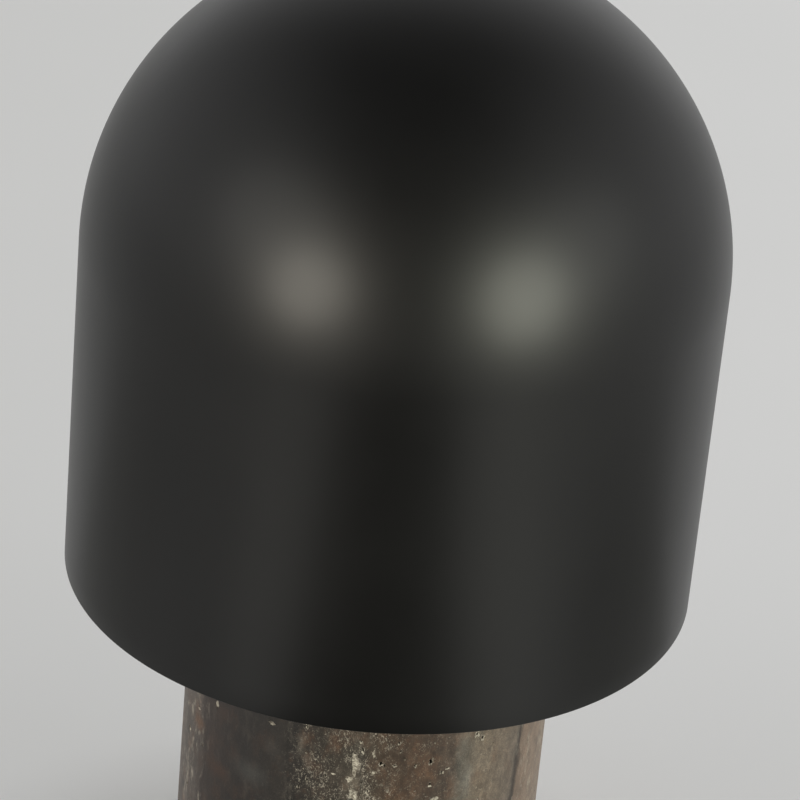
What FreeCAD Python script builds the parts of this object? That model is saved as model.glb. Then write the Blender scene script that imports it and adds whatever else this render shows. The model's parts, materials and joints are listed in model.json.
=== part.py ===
import FreeCAD, Part
import math
import os
import Sketcher

# A table lamp: a stone drum stands on felt, a hollow pipe runs up through it and carries the
# lampholder and a wire harp, and a deep domed metal shade hangs from the harp's top.
# Millimetres. The origin is the middle of the underside, on the table. +Z is up, -Y is the
# front, and the cord inlet is at the back. Heights in the sheet are above the table.

doc = FreeCAD.newDocument("TableLamp")
sheet = doc.addObject("Spreadsheet::Sheet", "Dim")

DIMENSIONS = [
    # shade
    ("shade_dia", 254),
    ("shade_gauge", 1.2),
    ("rim_height", 136),
    ("wall_rise", 140),
    ("dome_rise", 124),
    ("crown_radius", 130),
    ("arm_width", 12),
    ("arm_gauge", 1.6),
    ("arm_tab_drop", 15),
    ("arm_lift", 0.4),
    ("weld_gap", 0.05),
    ("collar_dia", 32),
    ("hub_dia", 18),
    ("hub_wall", 3),
    ("hub_rise", 18.4),
    # stone base and what closes it
    ("base_dia", 150),
    ("base_height", 176),
    ("base_round", 1.6),
    ("felt_dia", 144),
    ("felt_gauge", 2),
    ("plate_dia", 131.4),
    ("plate_gauge", 2),
    ("plate_gap", 0.3),
    ("recess_dia", 104),
    ("recess_top", 32),
    ("pipe_hole_dia", 12),
    ("screw_circle_dia", 118),
    ("screw_dia", 3.9),
    ("screw_head_dia", 7.6),
    ("screw_depth", 12),
    ("anchor_dia", 7),
    ("anchor_depth", 13),
    # cord inlet at the back
    ("inlet_height", 16),
    ("inlet_bore_dia", 8),
    ("inlet_body_dia", 13),
    ("inlet_flange_dia", 18),
    ("inlet_flange_gauge", 2),
    # hollow pipe and its nuts
    ("pipe_dia", 9.7),
    ("pipe_bore_dia", 6.8),
    ("pipe_bottom", 20),
    ("pipe_top", 191.5),
    ("nut_dia", 16.2),
    ("nut_gauge", 4),
    ("washer_dia", 40),
    ("washer_gauge", 2),
    ("lock_washer_dia", 18),
    ("lock_washer_gauge", 1.2),
    ("seat_ring_dia", 44),
    ("seat_ring_gauge", 2.5),
    # terminal block in the recess, and the two leads up to the lampholder
    ("block_width", 18),
    ("block_depth", 20),
    ("block_rise", 12),
    ("block_front", 20),
    ("way_offset", 5),
    ("way_height", 10.5),
    ("lead_dia", 2),
    ("lead_offset", 1.3),
    ("lead_bend", 6),
    ("lead_entry", 4),
    ("lead_straight", 5),
    ("lead_side_gap", 0.3),
    ("insert_dia", 5.2),
    ("insert_sink", 0.5),
    ("clamp_screw_dia", 2.6),
    ("clamp_screw_sink", 0.6),
    ("block_screw_dia", 3),
    ("block_screw_head_dia", 5.2),
    ("block_screw_head_gauge", 2),
    # harp and saddle
    ("saddle_width", 13),
    ("saddle_gauge", 1.6),
    ("tongue_width", 3.4),
    ("tongue_reach", 27),
    ("tongue_rise", 12),
    ("wire_dia", 4.5),
    ("wire_gap", 0.3),
    ("harp_half_width", 47),
    ("harp_spring_height", 320),
    ("harp_bend", 80),
    ("harp_foot_lift", 0.9),
    ("harp_leg_rise", 48),
    ("harp_side_run", 30),
    ("boss_dia", 14),
    ("boss_rise", 8),
    ("sleeve_centre", 28.6),
    ("sleeve_dia", 9.8),
    ("sleeve_bore_dia", 7.9),
    ("sleeve_rise", 14),
    # swivel stud on the harp's top
    ("stud_dia", 5.9),
    ("stud_fit", 0.05),
    ("stud_flange_dia", 16),
    ("stud_flange_gauge", 3),
    ("pin_dia", 6.35),
    ("pin_rise", 14.7),
    ("pin_fit", 0.075),
    ("stud_tail", 1),
    ("groove_depth", 0.6),
    ("clip_gauge", 1),
    ("clip_dia", 11),
    ("clip_mouth", 3),
    ("running_gap", 0.3),
    # lampholder
    ("cap_dia", 37),
    ("cap_neck_dia", 16),
    ("cap_neck_rise", 6),
    ("cap_flare_rise", 7.1),
    ("cap_rim_height", 212),
    ("set_screw_lift", 2.6),
    ("set_screw_dia", 2.8),
    ("set_screw_length", 4.6),
    ("set_screw_head_dia", 5),
    ("set_screw_head_gauge", 1.8),
    ("slot_width", 0.8),
    ("slot_depth", 0.8),
    ("sheet_gauge", 0.9),
    ("shell_dia", 34.8),
    ("shell_gauge", 0.8),
    ("shell_bottom", 209),
    ("shell_top", 250),
    ("liner_dia", 32.4),
    ("liner_gauge", 0.8),
    ("liner_bottom", 210),
    ("body_dia", 29),
    ("body_bottom", 202),
    ("body_top", 223),
    ("flat_depth", 2),
    ("terminal_height", 206),
    ("terminal_screw_dia", 3.2),
    ("terminal_screw_length", 4.6),
    ("terminal_head_dia", 5.6),
    ("terminal_head_gauge", 1.8),
    ("screw_shell_bore_dia", 26.6),
    ("screw_shell_rise", 24),
    ("screw_shell_gauge", 0.5),
    ("contact_width", 5),
    ("contact_gauge", 0.5),
    ("contact_rise", 1.6),
    ("spindle_height", 215),
    ("spindle_dia", 4.8),
    ("spindle_inset", 8),
    ("spindle_room", 0.8),
    ("knob_dia", 13),
    ("knob_front", 31),
    ("knob_length", 11.5),
    ("knob_face", 3.6),
    ("knob_round", 1.2),
    ("flute_dia", 2.4),
    ("flute_count", 12),
    # bulb
    ("bulb_bottom", 225.5),
    ("bulb_length", 104),
    ("bulb_dia", 60),
    ("bulb_neck_dia", 24.6),
    ("bulb_cap_dia", 26),
    ("bulb_cap_top", 251.5),
    ("bulb_cap_gauge", 0.6),
    ("glass_sink", 4.5),
    ("neck_lean", 35),
    ("neck_bend", 25),
    ("glass_gauge", 0.8),
]

for row, (alias, value) in enumerate(DIMENSIONS, start=1):
    sheet.set("A%d" % row, alias)
    sheet.set("B%d" % row, str(value))
    sheet.setAlias("B%d" % row, alias)
doc.recompute()

UP = FreeCAD.Vector(0, 0, 1)
NODES = {}


def number(expression):
    """The value in millimetres of an expression written over the sheet's cells."""
    value = sheet.evalExpression(expression)
    return float(getattr(value, "Value", value))


def spot(across, along):
    """A point of a sketch, from two expressions."""
    return FreeCAD.Vector(number(across), number(along), 0)


# --- how pieces are made ---------------------------------------------------------------------

def keep(piece, label):
    """List a finished piece as a node of the lamp."""
    piece.Label = label
    NODES[label] = piece
    return piece


def new_body(label):
    return keep(doc.addObject("PartDesign::Body", label), label)


def new_sketch(body, role, lift="0"):
    """A sketch on one of the body's own origin planes, moved along its normal by lift."""
    sketch = body.newObject("Sketcher::SketchObject", "Sketch")
    plane = [feature for feature in body.Origin.OriginFeatures if feature.Role == role][0]
    sketch.AttachmentSupport = [(plane, "")]
    sketch.MapMode = "FlatFace"
    sketch.setExpression("AttachmentOffset.Base.z", lift)
    return sketch


def pin(sketch, element, point, across, along):
    """Bind one point of a sketch to two expressions, measured from the sketch's origin."""
    for kind, expression in (("DistanceX", across), ("DistanceY", along)):
        constraint = Sketcher.Constraint(kind, -1, 1, element, point, number(expression))
        index = sketch.addConstraint(constraint)
        sketch.setExpression("Constraints[%d]" % index, expression)


def draw_outline(sketch, corners):
    """A closed outline of straight lines, every corner bound to the sheet."""
    spots = [spot(across, along) for across, along in corners]
    count = len(spots)
    first = sketch.GeometryCount
    for i in range(count):
        sketch.addGeometry(Part.LineSegment(spots[i], spots[(i + 1) % count]))
    for i in range(count):
        sketch.addConstraint(Sketcher.Constraint("Coincident", first + i, 2, first + (i + 1) % count, 1))
    for i, (across, along) in enumerate(corners):
        pin(sketch, first + i, 1, across, along)


def draw_circle(sketch, across, along, diameter):
    """A circle with its middle and diameter bound to the sheet."""
    centre = spot(across, along)
    index = sketch.addGeometry(Part.Circle(centre, UP, number(diameter) / 2))
    pin(sketch, index, 3, across, along)
    constraint = sketch.addConstraint(Sketcher.Constraint("Diameter", index, number(diameter)))
    sketch.setExpression("Constraints[%d]" % constraint, diameter)


def revolve(body, sketch):
    """Turn a sketch once round its upright axis."""
    feature = body.newObject("PartDesign::Revolution", "Turned")
    feature.Profile = sketch
    feature.ReferenceAxis = (sketch, ["V_Axis"])
    feature.Angle = 360
    return feature


def turned(label, corners):
    """A piece turned about the lamp's axis, from the (radius, height) corners of its section."""
    body = new_body(label)
    sketch = new_sketch(body, "XZ_Plane")
    draw_outline(sketch, corners)
    revolve(body, sketch)
    return body


def tube(label, outer_dia, bore_dia, bottom, top):
    """A plain ring or tube about the lamp's axis."""
    outer = "(%s) / 2" % outer_dia
    inner = "(%s) / 2" % bore_dia
    return turned(label, [(inner, bottom), (outer, bottom), (outer, top), (inner, top)])


def pad(body, sketch, length, midplane=False, reverse=False):
    feature = body.newObject("PartDesign::Pad", "Pad")
    feature.Profile = sketch
    feature.Midplane = midplane
    feature.Reversed = reverse
    feature.setExpression("Length", length)
    return feature


def pocket(body, sketch, length, midplane=False, reverse=False):
    """Cut a sketch into the body, and make sure that it removed something."""
    doc.recompute()
    before = body.Shape.Volume
    feature = body.newObject("PartDesign::Pocket", "Pocket")
    feature.Profile = sketch
    feature.Midplane = midplane
    feature.Reversed = reverse
    feature.setExpression("Length", length)
    doc.recompute()
    if body.Shape.Volume >= before:
        raise RuntimeError("a pocket of %s removes nothing" % body.Label)
    return feature


def repeat(body, features, count):
    """Repeat features evenly about the lamp's axis."""
    pattern = body.newObject("PartDesign::PolarPattern", "Repeated")
    axis = [feature for feature in body.Origin.OriginFeatures if feature.Role == "Z_Axis"][0]
    pattern.Originals = features
    pattern.Axis = (axis, [""])
    pattern.Angle = 360
    pattern.Occurrences = count
    body.Tip = pattern
    return pattern


def ring_edges(shape, rings):
    """Names of the circular edges that lie at one of the (radius, height) rings."""
    places = [(number(radius), number(height)) for radius, height in rings]
    names = []
    for index, edge in enumerate(shape.Edges, start=1):
        if edge.Degenerated or not isinstance(edge.Curve, Part.Circle):
            continue
        circle = edge.Curve
        for radius, height in places:
            if abs(circle.Radius - radius) < 0.01 and abs(circle.Center.z - height) < 0.01:
                names.append("Edge%d" % index)
    return names


def round_rings(body, rings, radius):
    """Round the circular edges at the (radius, height) rings."""
    doc.recompute()
    base = body.Tip
    names = ring_edges(base.Shape, rings)
    if not names:
        raise RuntimeError("%s has no such edge to round" % body.Label)
    fillet = body.newObject("PartDesign::Fillet", "Rounded")
    fillet.Base = (base, names)
    fillet.setExpression("Radius", radius)
    return fillet


def cylinder(diameter, height, places):
    """A plain cylinder used as a tool, its base at the expressions of places."""
    tool = doc.addObject("Part::Cylinder", "Tool")
    tool.setExpression("Radius", "(%s) / 2" % diameter)
    tool.setExpression("Height", height)
    for axis, expression in zip("xyz", places):
        tool.setExpression("Placement.Base.%s" % axis, expression)
    return tool


def block(lengths, places):
    """A box used as a tool, its low corner at the expressions of places."""
    tool = doc.addObject("Part::Box", "Tool")
    for side, expression in zip(("Length", "Width", "Height"), lengths):
        tool.setExpression(side, expression)
    for axis, expression in zip("xyz", places):
        tool.setExpression("Placement.Base.%s" % axis, expression)
    return tool


def cut(base, tool):
    feature = doc.addObject("Part::Cut", "Cut")
    feature.Base = base
    feature.Tool = tool
    return feature


def joined(pieces):
    feature = doc.addObject("Part::MultiFuse", "Joined")
    feature.Shapes = pieces
    return feature


def hex_nut(label, bottom):
    """A six-sided nut on the pipe, with its underside at bottom."""
    prism = doc.addObject("Part::Prism", "Hexagon")
    prism.Polygon = 6
    prism.setExpression("Circumradius", "Dim.nut_dia / 2")
    prism.setExpression("Height", "Dim.nut_gauge")
    prism.setExpression("Placement.Base.z", bottom)
    bore = cylinder("Dim.pipe_dia + 0.1", "Dim.nut_gauge", ("0", "0", bottom))
    return keep(cut(prism, bore), label)


def lying_cylinder(diameter, length, start, direction):
    """A cylinder used as a tool, from the point start along a level direction."""
    tool = cylinder(diameter, length, start)
    turn = FreeCAD.Rotation(UP, FreeCAD.Vector(*direction))
    tool.Placement.Rotation = turn
    return tool


def rounded_run(points, radii):
    """Straight runs through points, with a tangent arc of the given radius at each inner one."""
    edges = []
    start = points[0]
    for before, corner, after, radius in zip(points, points[1:], points[2:], radii):
        inward = (before - corner).normalize()
        outward = (after - corner).normalize()
        half = inward.getAngle(outward) / 2
        setback = radius / math.tan(half)
        middle = (inward + outward).normalize()
        nearest = corner + middle * (radius / math.sin(half) - radius)
        first = corner + inward * setback
        last = corner + outward * setback
        edges.append(Part.LineSegment(start, first))
        edges.append(Part.Arc(first, nearest, last))
        start = last
    edges.append(Part.LineSegment(start, points[-1]))
    return edges


# --- stone base and what closes it -----------------------------------------------------------

PLATE_TOP = "Dim.felt_gauge + Dim.plate_gauge"
ANCHOR_HOLE = "Dim.anchor_dia + 0.1"
SCREW_RING = "Dim.screw_circle_dia / 2"


def make_stone_base():
    """The drum, hollowed from below, with a rebate for the plate and a hole for the pipe."""
    outer = "Dim.base_dia / 2"
    rebate = "Dim.plate_dia / 2 + Dim.plate_gap"
    recess = "Dim.recess_dia / 2"
    hole = "Dim.pipe_hole_dia / 2"
    body = turned("stone_base", [
        (hole, "Dim.base_height"),
        (outer, "Dim.base_height"),
        (outer, "Dim.felt_gauge"),
        (rebate, "Dim.felt_gauge"),
        (rebate, PLATE_TOP),
        (recess, PLATE_TOP),
        (recess, "Dim.recess_top"),
        (hole, "Dim.recess_top"),
    ])
    anchor_holes = new_sketch(body, "XY_Plane", PLATE_TOP)
    draw_circle(anchor_holes, "0", "-" + SCREW_RING, ANCHOR_HOLE)
    hole_cut = pocket(body, anchor_holes, "Dim.anchor_depth + 1", reverse=True)
    repeat(body, [hole_cut], 3)
    inlet = new_sketch(body, "XZ_Plane", "-Dim.base_dia / 2 - 1")
    draw_circle(inlet, "0", "Dim.inlet_height", "Dim.inlet_body_dia + 0.1")
    pocket(body, inlet, "(Dim.base_dia - Dim.recess_dia) / 2 + 5", reverse=True)
    seat = new_sketch(body, "XZ_Plane", "-Dim.base_dia / 2 - 1")
    draw_circle(seat, "0", "Dim.inlet_height", "Dim.inlet_flange_dia + 0.2")
    pocket(body, seat, "Dim.inlet_flange_gauge + 1", reverse=True)
    round_rings(body, [(outer, "Dim.base_height"), (outer, "Dim.felt_gauge")], "Dim.base_round")


def make_felt_pad():
    outer = "Dim.felt_dia / 2"
    turned("felt_pad", [
        ("0", "0"),
        (outer, "0"),
        (outer, "Dim.felt_gauge"),
        ("0", "Dim.felt_gauge"),
    ])


def make_bottom_plate():
    """A steel disc flush with the stone's underside, countersunk for three screws."""
    outer = "Dim.plate_dia / 2"
    body = turned("bottom_plate", [
        ("0", "Dim.felt_gauge"),
        (outer, "Dim.felt_gauge"),
        (outer, PLATE_TOP),
        ("0", PLATE_TOP),
    ])
    doc.recompute()
    hole_sketch = new_sketch(body, "XY_Plane", "Dim.felt_gauge")
    draw_circle(hole_sketch, "0", "-" + SCREW_RING, "Dim.screw_dia + 0.5")
    doc.recompute()
    hole = body.newObject("PartDesign::Hole", "Countersunk")
    hole.Profile = hole_sketch
    hole.Reversed = True
    hole.DepthType = "Dimension"
    hole.setExpression("Depth", "Dim.plate_gauge + 1")
    hole.setExpression("Diameter", "Dim.screw_dia + 0.5")
    hole.HoleCutType = "Countersink"
    hole.HoleCutCustomValues = True
    hole.setExpression("HoleCutDiameter", "Dim.screw_head_dia + 0.4")
    hole.HoleCutCountersinkAngle = 90
    doc.recompute()
    repeat(body, [hole], 3)
    screw_hole = new_sketch(body, "XY_Plane", PLATE_TOP)
    draw_circle(screw_hole, "0", "Dim.block_front + Dim.block_depth / 2", "Dim.block_screw_dia + 0.1")
    pocket(body, screw_hole, "Dim.plate_gauge")


def turned_at(body, corners, across):
    """Turn a section about an upright line that stands at the distance across."""
    sketch = new_sketch(body, "XZ_Plane")
    draw_outline(sketch, [("%s + %s" % (across, radius), height) for radius, height in corners])
    axis = Part.LineSegment(spot(across, "0"), spot(across, "10"))
    index = sketch.addGeometry(axis, True)
    pin(sketch, index, 1, across, "0")
    pin(sketch, index, 2, across, "10")
    feature = body.newObject("PartDesign::Revolution", "Turned")
    feature.Profile = sketch
    feature.ReferenceAxis = (sketch, ["Axis0"])
    feature.Angle = 360
    return feature


def turned_ring_of_three(label, corners):
    """Three like pieces on the screw circle, the first of them at the front."""
    body = new_body(label)
    body.AllowCompound = True
    feature = turned_at(body, corners, SCREW_RING)
    repeat(body, [feature], 3)
    body.setExpression("Placement.Rotation.Angle", "-90")
    return body


def make_plate_screws():
    head = "Dim.screw_head_dia / 2"
    shank = "Dim.screw_dia / 2"
    head_top = "Dim.felt_gauge + Dim.screw_head_dia / 2 - Dim.screw_dia / 2"
    tip = "Dim.felt_gauge + Dim.screw_depth"
    turned_ring_of_three("plate_screws", [
        ("0", "Dim.felt_gauge"),
        (head, "Dim.felt_gauge"),
        (shank, head_top),
        (shank, tip),
        ("0", tip + " + 1"),
    ])


def make_screw_anchors():
    """Threaded brass inserts glued into the stone."""
    outer = "Dim.anchor_dia / 2"
    bore = "Dim.screw_dia / 2 + 0.05"
    top = PLATE_TOP + " + Dim.anchor_depth"
    turned_ring_of_three("screw_anchors", [
        (bore, PLATE_TOP),
        (outer, PLATE_TOP),
        (outer, top),
        (bore, top),
    ])


def make_cord_bushing():
    """A flanged plastic tube at the back, which the cord passes through."""
    surface = "Dim.base_dia / 2"
    seat = surface + " - Dim.inlet_flange_gauge"
    length = "(Dim.base_dia - Dim.recess_dia) / 2"
    inner_end = "%s - (%s)" % (surface, length)
    stem = lying_cylinder("Dim.inlet_body_dia", length, ("0", inner_end, "Dim.inlet_height"), (0, 1, 0))
    flange_place = ("0", seat, "Dim.inlet_height")
    flange = lying_cylinder("Dim.inlet_flange_dia", "Dim.inlet_flange_gauge", flange_place, (0, 1, 0))
    bore_place = ("0", inner_end + " - 1", "Dim.inlet_height")
    bore = lying_cylinder("Dim.inlet_bore_dia", length + " + 2", bore_place, (0, 1, 0))
    keep(cut(joined([stem, flange]), bore), "cord_bushing")


# --- pipe, nuts and washers ------------------------------------------------------------------

WASHER_BOTTOM = "Dim.recess_top - Dim.washer_gauge"
LOCK_BOTTOM = WASHER_BOTTOM + " - Dim.lock_washer_gauge"
NUT_BOTTOM = LOCK_BOTTOM + " - Dim.nut_gauge"
SEAT_TOP = "Dim.base_height + Dim.seat_ring_gauge"
SADDLE_TOP = SEAT_TOP + " + Dim.saddle_gauge"
CAP_BOTTOM = SADDLE_TOP + " + Dim.nut_gauge + Dim.running_gap"
PIPE_BORE = "Dim.pipe_dia + 0.1"


def make_pipe_set():
    """The threaded pipe that holds the lamp together, and everything threaded on it."""
    tube("lamp_pipe", "Dim.pipe_dia", "Dim.pipe_bore_dia", "Dim.pipe_bottom", "Dim.pipe_top")
    tube("recess_washer", "Dim.washer_dia", "Dim.pipe_dia + 0.7", WASHER_BOTTOM, "Dim.recess_top")
    tube("lock_washer", "Dim.lock_washer_dia", "Dim.pipe_dia + 0.7", LOCK_BOTTOM, WASHER_BOTTOM)
    hex_nut("pipe_nut", NUT_BOTTOM)
    ring = tube("seat_ring", "Dim.seat_ring_dia", "Dim.pipe_dia + 0.7", "Dim.base_height", SEAT_TOP)
    round_rings(ring, [("Dim.seat_ring_dia / 2", SEAT_TOP)], "0.8")
    hex_nut("saddle_nut", SADDLE_TOP)


# --- terminal block and leads ----------------------------------------------------------------

BLOCK_TOP = PLATE_TOP + " + Dim.block_rise"
BLOCK_MIDDLE = "Dim.block_front + Dim.block_depth / 2"
CLAMP_STEPS = ("Dim.block_depth / 4", "Dim.block_depth * 3 / 4")
CLAMP_PLACES = [(side, along) for side in (-1, 1) for along in CLAMP_STEPS]


def way_tools(diameter, margin):
    """Two level cylinders along the block's two ways, longer than it by margin at each end."""
    length = "Dim.block_depth + 2 * (%s)" % margin
    front = "Dim.block_front - (%s)" % margin
    return [
        lying_cylinder(diameter, length, ("%d * Dim.way_offset" % side, front, "Dim.way_height"), (0, 1, 0))
        for side in (-1, 1)
    ]


def clamp_tools(diameter, bottom, top):
    """Four upright cylinders where the clamp screws stand."""
    return [
        cylinder(diameter, "%s - (%s)" % (top, bottom),
                 ("%d * Dim.way_offset" % side, "Dim.block_front + " + along, bottom))
        for side, along in CLAMP_PLACES
    ]


def make_terminal_block():
    """A two-way plastic block on the plate, with brass inserts and their clamp screws."""
    housing = block(
        ("Dim.block_width", "Dim.block_depth", "Dim.block_rise"),
        ("-Dim.block_width / 2", "Dim.block_front", PLATE_TOP),
    )
    fixing_place = ("0", BLOCK_MIDDLE, PLATE_TOP + " - 1")
    fixing = cylinder("Dim.block_screw_dia + 0.2", "Dim.block_rise + 2", fixing_place)
    insert_room = way_tools("Dim.insert_dia + 0.1", "1")
    clamp_room = clamp_tools("Dim.clamp_screw_dia + 0.1", "Dim.way_height", BLOCK_TOP + " + 1")
    keep(cut(housing, joined([fixing] + insert_room + clamp_room)), "terminal_block")

    sleeves = joined(way_tools("Dim.insert_dia", "-Dim.insert_sink"))
    bores = way_tools("Dim.lead_dia + 0.6", "1")
    clamp_bores = clamp_tools("Dim.clamp_screw_dia + 0.1", "Dim.way_height", BLOCK_TOP)
    keep(cut(sleeves, joined(bores + clamp_bores)), "terminal_inserts")

    clamp_bottom = "Dim.way_height + Dim.lead_dia / 2 + 0.1"
    clamp_top = BLOCK_TOP + " - Dim.clamp_screw_sink"
    keep(joined(clamp_tools("Dim.clamp_screw_dia", clamp_bottom, clamp_top)), "clamp_screws")

    shank = cylinder("Dim.block_screw_dia", "Dim.plate_gauge - 0.2 + Dim.block_rise",
                     ("0", BLOCK_MIDDLE, "Dim.felt_gauge + 0.2"))
    head_place = ("0", BLOCK_MIDDLE, BLOCK_TOP)
    head = cylinder("Dim.block_screw_head_dia", "Dim.block_screw_head_gauge", head_place)
    keep(joined([shank, head]), "block_screw")


def make_lead(label, side):
    """One insulated lead: out of the block, up inside the pipe and out to its terminal."""
    pipe_x = side * number("Dim.lead_offset")
    way_x = side * number("Dim.way_offset")
    terminal_x = side * number("Dim.body_dia / 2 + Dim.lead_side_gap + Dim.lead_dia / 2")
    way_z = number("Dim.way_height")
    bend = number("Dim.lead_bend")
    above_pipe = number("Dim.pipe_top") + 1
    below_body = number("Dim.body_bottom") - 2.5
    points = [
        FreeCAD.Vector(way_x, number("Dim.block_front + Dim.lead_entry"), way_z),
        FreeCAD.Vector(way_x, number("Dim.block_front - Dim.lead_straight"), way_z),
        FreeCAD.Vector(pipe_x, 0, way_z),
        FreeCAD.Vector(pipe_x, 0, above_pipe),
        FreeCAD.Vector(terminal_x, 0, below_body),
        FreeCAD.Vector(terminal_x, 0, number("Dim.terminal_height") + 2),
    ]
    edges = rounded_run(points, [2 * bend, bend, bend * 2 / 3, bend * 2 / 3])
    path = Part.Wire([edge.toShape() for edge in edges])
    radius = number("Dim.lead_dia") / 2
    ring = Part.Wire([Part.Circle(points[0], points[1] - points[0], radius).toShape()])
    lead = doc.addObject("Part::Feature", label)
    lead.Shape = path.makePipeShell([ring], True, False)
    lead.Placement = FreeCAD.Placement()
    print("%s volume / (section * length) = %.4f"
          % (label, lead.Shape.Volume / (math.pi * radius ** 2 * path.Length)))
    keep(lead, label)


# --- harp ------------------------------------------------------------------------------------

WIRE_X = "Dim.tongue_reach + Dim.wire_gap + Dim.wire_dia / 2"
WIRE_BOTTOM = SADDLE_TOP + " + Dim.harp_foot_lift"
HARP_TOP = "Dim.harp_spring_height + Dim.harp_half_width"
BOSS_BOTTOM = HARP_TOP + " - Dim.boss_rise / 2"
BOSS_TOP = HARP_TOP + " + Dim.boss_rise / 2"


def make_harp_saddle():
    """A flat strip under the lampholder with an upright tongue at each end."""
    body = new_body("harp_saddle")
    strip = new_sketch(body, "XY_Plane", SEAT_TOP)
    reach = "Dim.tongue_reach"
    half = "Dim.saddle_width / 2"
    left = "-" + reach
    front = "-" + half
    draw_outline(strip, [(left, front), (reach, front), (reach, half), (left, half)])
    draw_circle(strip, "0", "0", "Dim.pipe_dia + 0.3")
    pad(body, strip, "Dim.saddle_gauge")
    for sign in ("", "-"):
        inner = "%s(Dim.tongue_reach - Dim.saddle_gauge)" % sign
        tongue = new_sketch(body, "XZ_Plane")
        draw_outline(tongue, [
            (inner, SEAT_TOP),
            (sign + reach, SEAT_TOP),
            (sign + reach, SADDLE_TOP + " + Dim.tongue_rise"),
            (inner, SADDLE_TOP + " + Dim.tongue_rise"),
        ])
        pad(body, tongue, "Dim.tongue_width", midplane=True)


def make_harp():
    """One wire loop, widest beside the bulb, with a drilled boss brazed on its top."""
    body = new_body("harp")
    foot = number(WIRE_X)
    bottom = number(WIRE_BOTTOM)
    wide = number("Dim.harp_half_width")
    spring = number("Dim.harp_spring_height")
    lower_bend = FreeCAD.Vector(foot, bottom + number("Dim.harp_leg_rise"), 0)
    upper_bend = FreeCAD.Vector(wide, spring - number("Dim.harp_side_run"), 0)
    right = [FreeCAD.Vector(foot, bottom, 0), lower_bend, upper_bend, FreeCAD.Vector(wide, spring, 0)]
    left = [FreeCAD.Vector(-point.x, point.y, 0) for point in reversed(right)]
    bends = [number("Dim.harp_bend")] * 2
    path = new_sketch(body, "XZ_Plane")
    path.addGeometry(rounded_run(right, bends))
    arch = Part.Arc(right[-1], FreeCAD.Vector(0, spring + wide, 0), left[0])
    path.addGeometry([arch])
    path.addGeometry(rounded_run(left, bends))
    section = new_sketch(body, "XY_Plane", WIRE_BOTTOM)
    draw_circle(section, WIRE_X, "0", "Dim.wire_dia")
    wire = body.newObject("PartDesign::AdditivePipe", "Wire")
    wire.Profile = section
    wire.Spine = path
    doc.recompute()
    boss = new_sketch(body, "XY_Plane", BOSS_BOTTOM)
    draw_circle(boss, "0", "0", "Dim.boss_dia")
    pad(body, boss, "Dim.boss_rise")
    hole = new_sketch(body, "XY_Plane", BOSS_TOP + " + 1")
    draw_circle(hole, "0", "0", "Dim.stud_dia + 2 * Dim.stud_fit")
    pocket(body, hole, "Dim.boss_rise + 2")


def make_harp_sleeve(label, side):
    """A ferrule that slides down over a tongue and the harp's leg to lock them together."""
    bottom = SADDLE_TOP + " + Dim.running_gap"
    centre = "%d * Dim.sleeve_centre" % side
    outer = cylinder("Dim.sleeve_dia", "Dim.sleeve_rise", (centre, "0", bottom))
    bore = cylinder("Dim.sleeve_bore_dia", "Dim.sleeve_rise", (centre, "0", bottom))
    keep(cut(outer, bore), label)


# --- swivel on the harp's top ----------------------------------------------------------------

FLANGE_BOTTOM = BOSS_TOP + " + Dim.running_gap"
FLANGE_TOP = FLANGE_BOTTOM + " + Dim.stud_flange_gauge"
GROOVE_TOP = BOSS_BOTTOM + " - Dim.running_gap"
GROOVE_BOTTOM = GROOVE_TOP + " - Dim.clip_gauge - 0.2"


def make_swivel_stud():
    """A stud that turns in the boss: groove and clip below, flange and plain pin above."""
    shank = "Dim.stud_dia / 2"
    groove = "Dim.stud_dia / 2 - Dim.groove_depth"
    flange = "Dim.stud_flange_dia / 2"
    pin_radius = "Dim.pin_dia / 2"
    pin_top = FLANGE_TOP + " + Dim.pin_rise"
    body = turned("swivel_stud", [
        ("0", GROOVE_BOTTOM + " - Dim.stud_tail"),
        (shank, GROOVE_BOTTOM + " - Dim.stud_tail"),
        (shank, GROOVE_BOTTOM),
        (groove, GROOVE_BOTTOM),
        (groove, GROOVE_TOP),
        (shank, GROOVE_TOP),
        (shank, FLANGE_BOTTOM),
        (flange, FLANGE_BOTTOM),
        (flange, FLANGE_TOP),
        (pin_radius, FLANGE_TOP),
        (pin_radius, pin_top),
        ("0", pin_top),
    ])
    round_rings(body, [(pin_radius, pin_top)], "1.5")
    round_rings(body, [(flange, FLANGE_TOP)], "0.6")


def make_stud_clip():
    """An open spring clip in the stud's groove."""
    bottom = GROOVE_BOTTOM + " + 0.1"
    disc = cylinder("Dim.clip_dia", "Dim.clip_gauge", ("0", "0", bottom))
    bore = cylinder("Dim.stud_dia - 2 * Dim.groove_depth + 0.1", "Dim.clip_gauge", ("0", "0", bottom))
    mouth_sides = ("Dim.clip_mouth", "Dim.clip_dia", "Dim.clip_gauge")
    mouth = block(mouth_sides, ("-Dim.clip_mouth / 2", "0", bottom))
    keep(cut(disc, joined([bore, mouth])), "stud_clip")


# --- shade -----------------------------------------------------------------------------------

SPRING = "(Dim.rim_height + Dim.wall_rise)"
SHADE_RADIUS = "Dim.shade_dia / 2"
INNER_RADIUS = "Dim.shade_dia / 2 - Dim.shade_gauge"
HUB_BOTTOM = FLANGE_TOP + " + Dim.running_gap"
HUB_TOP = HUB_BOTTOM + " + Dim.hub_rise"
ARM_BOTTOM = HUB_BOTTOM + " + Dim.arm_lift"

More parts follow.
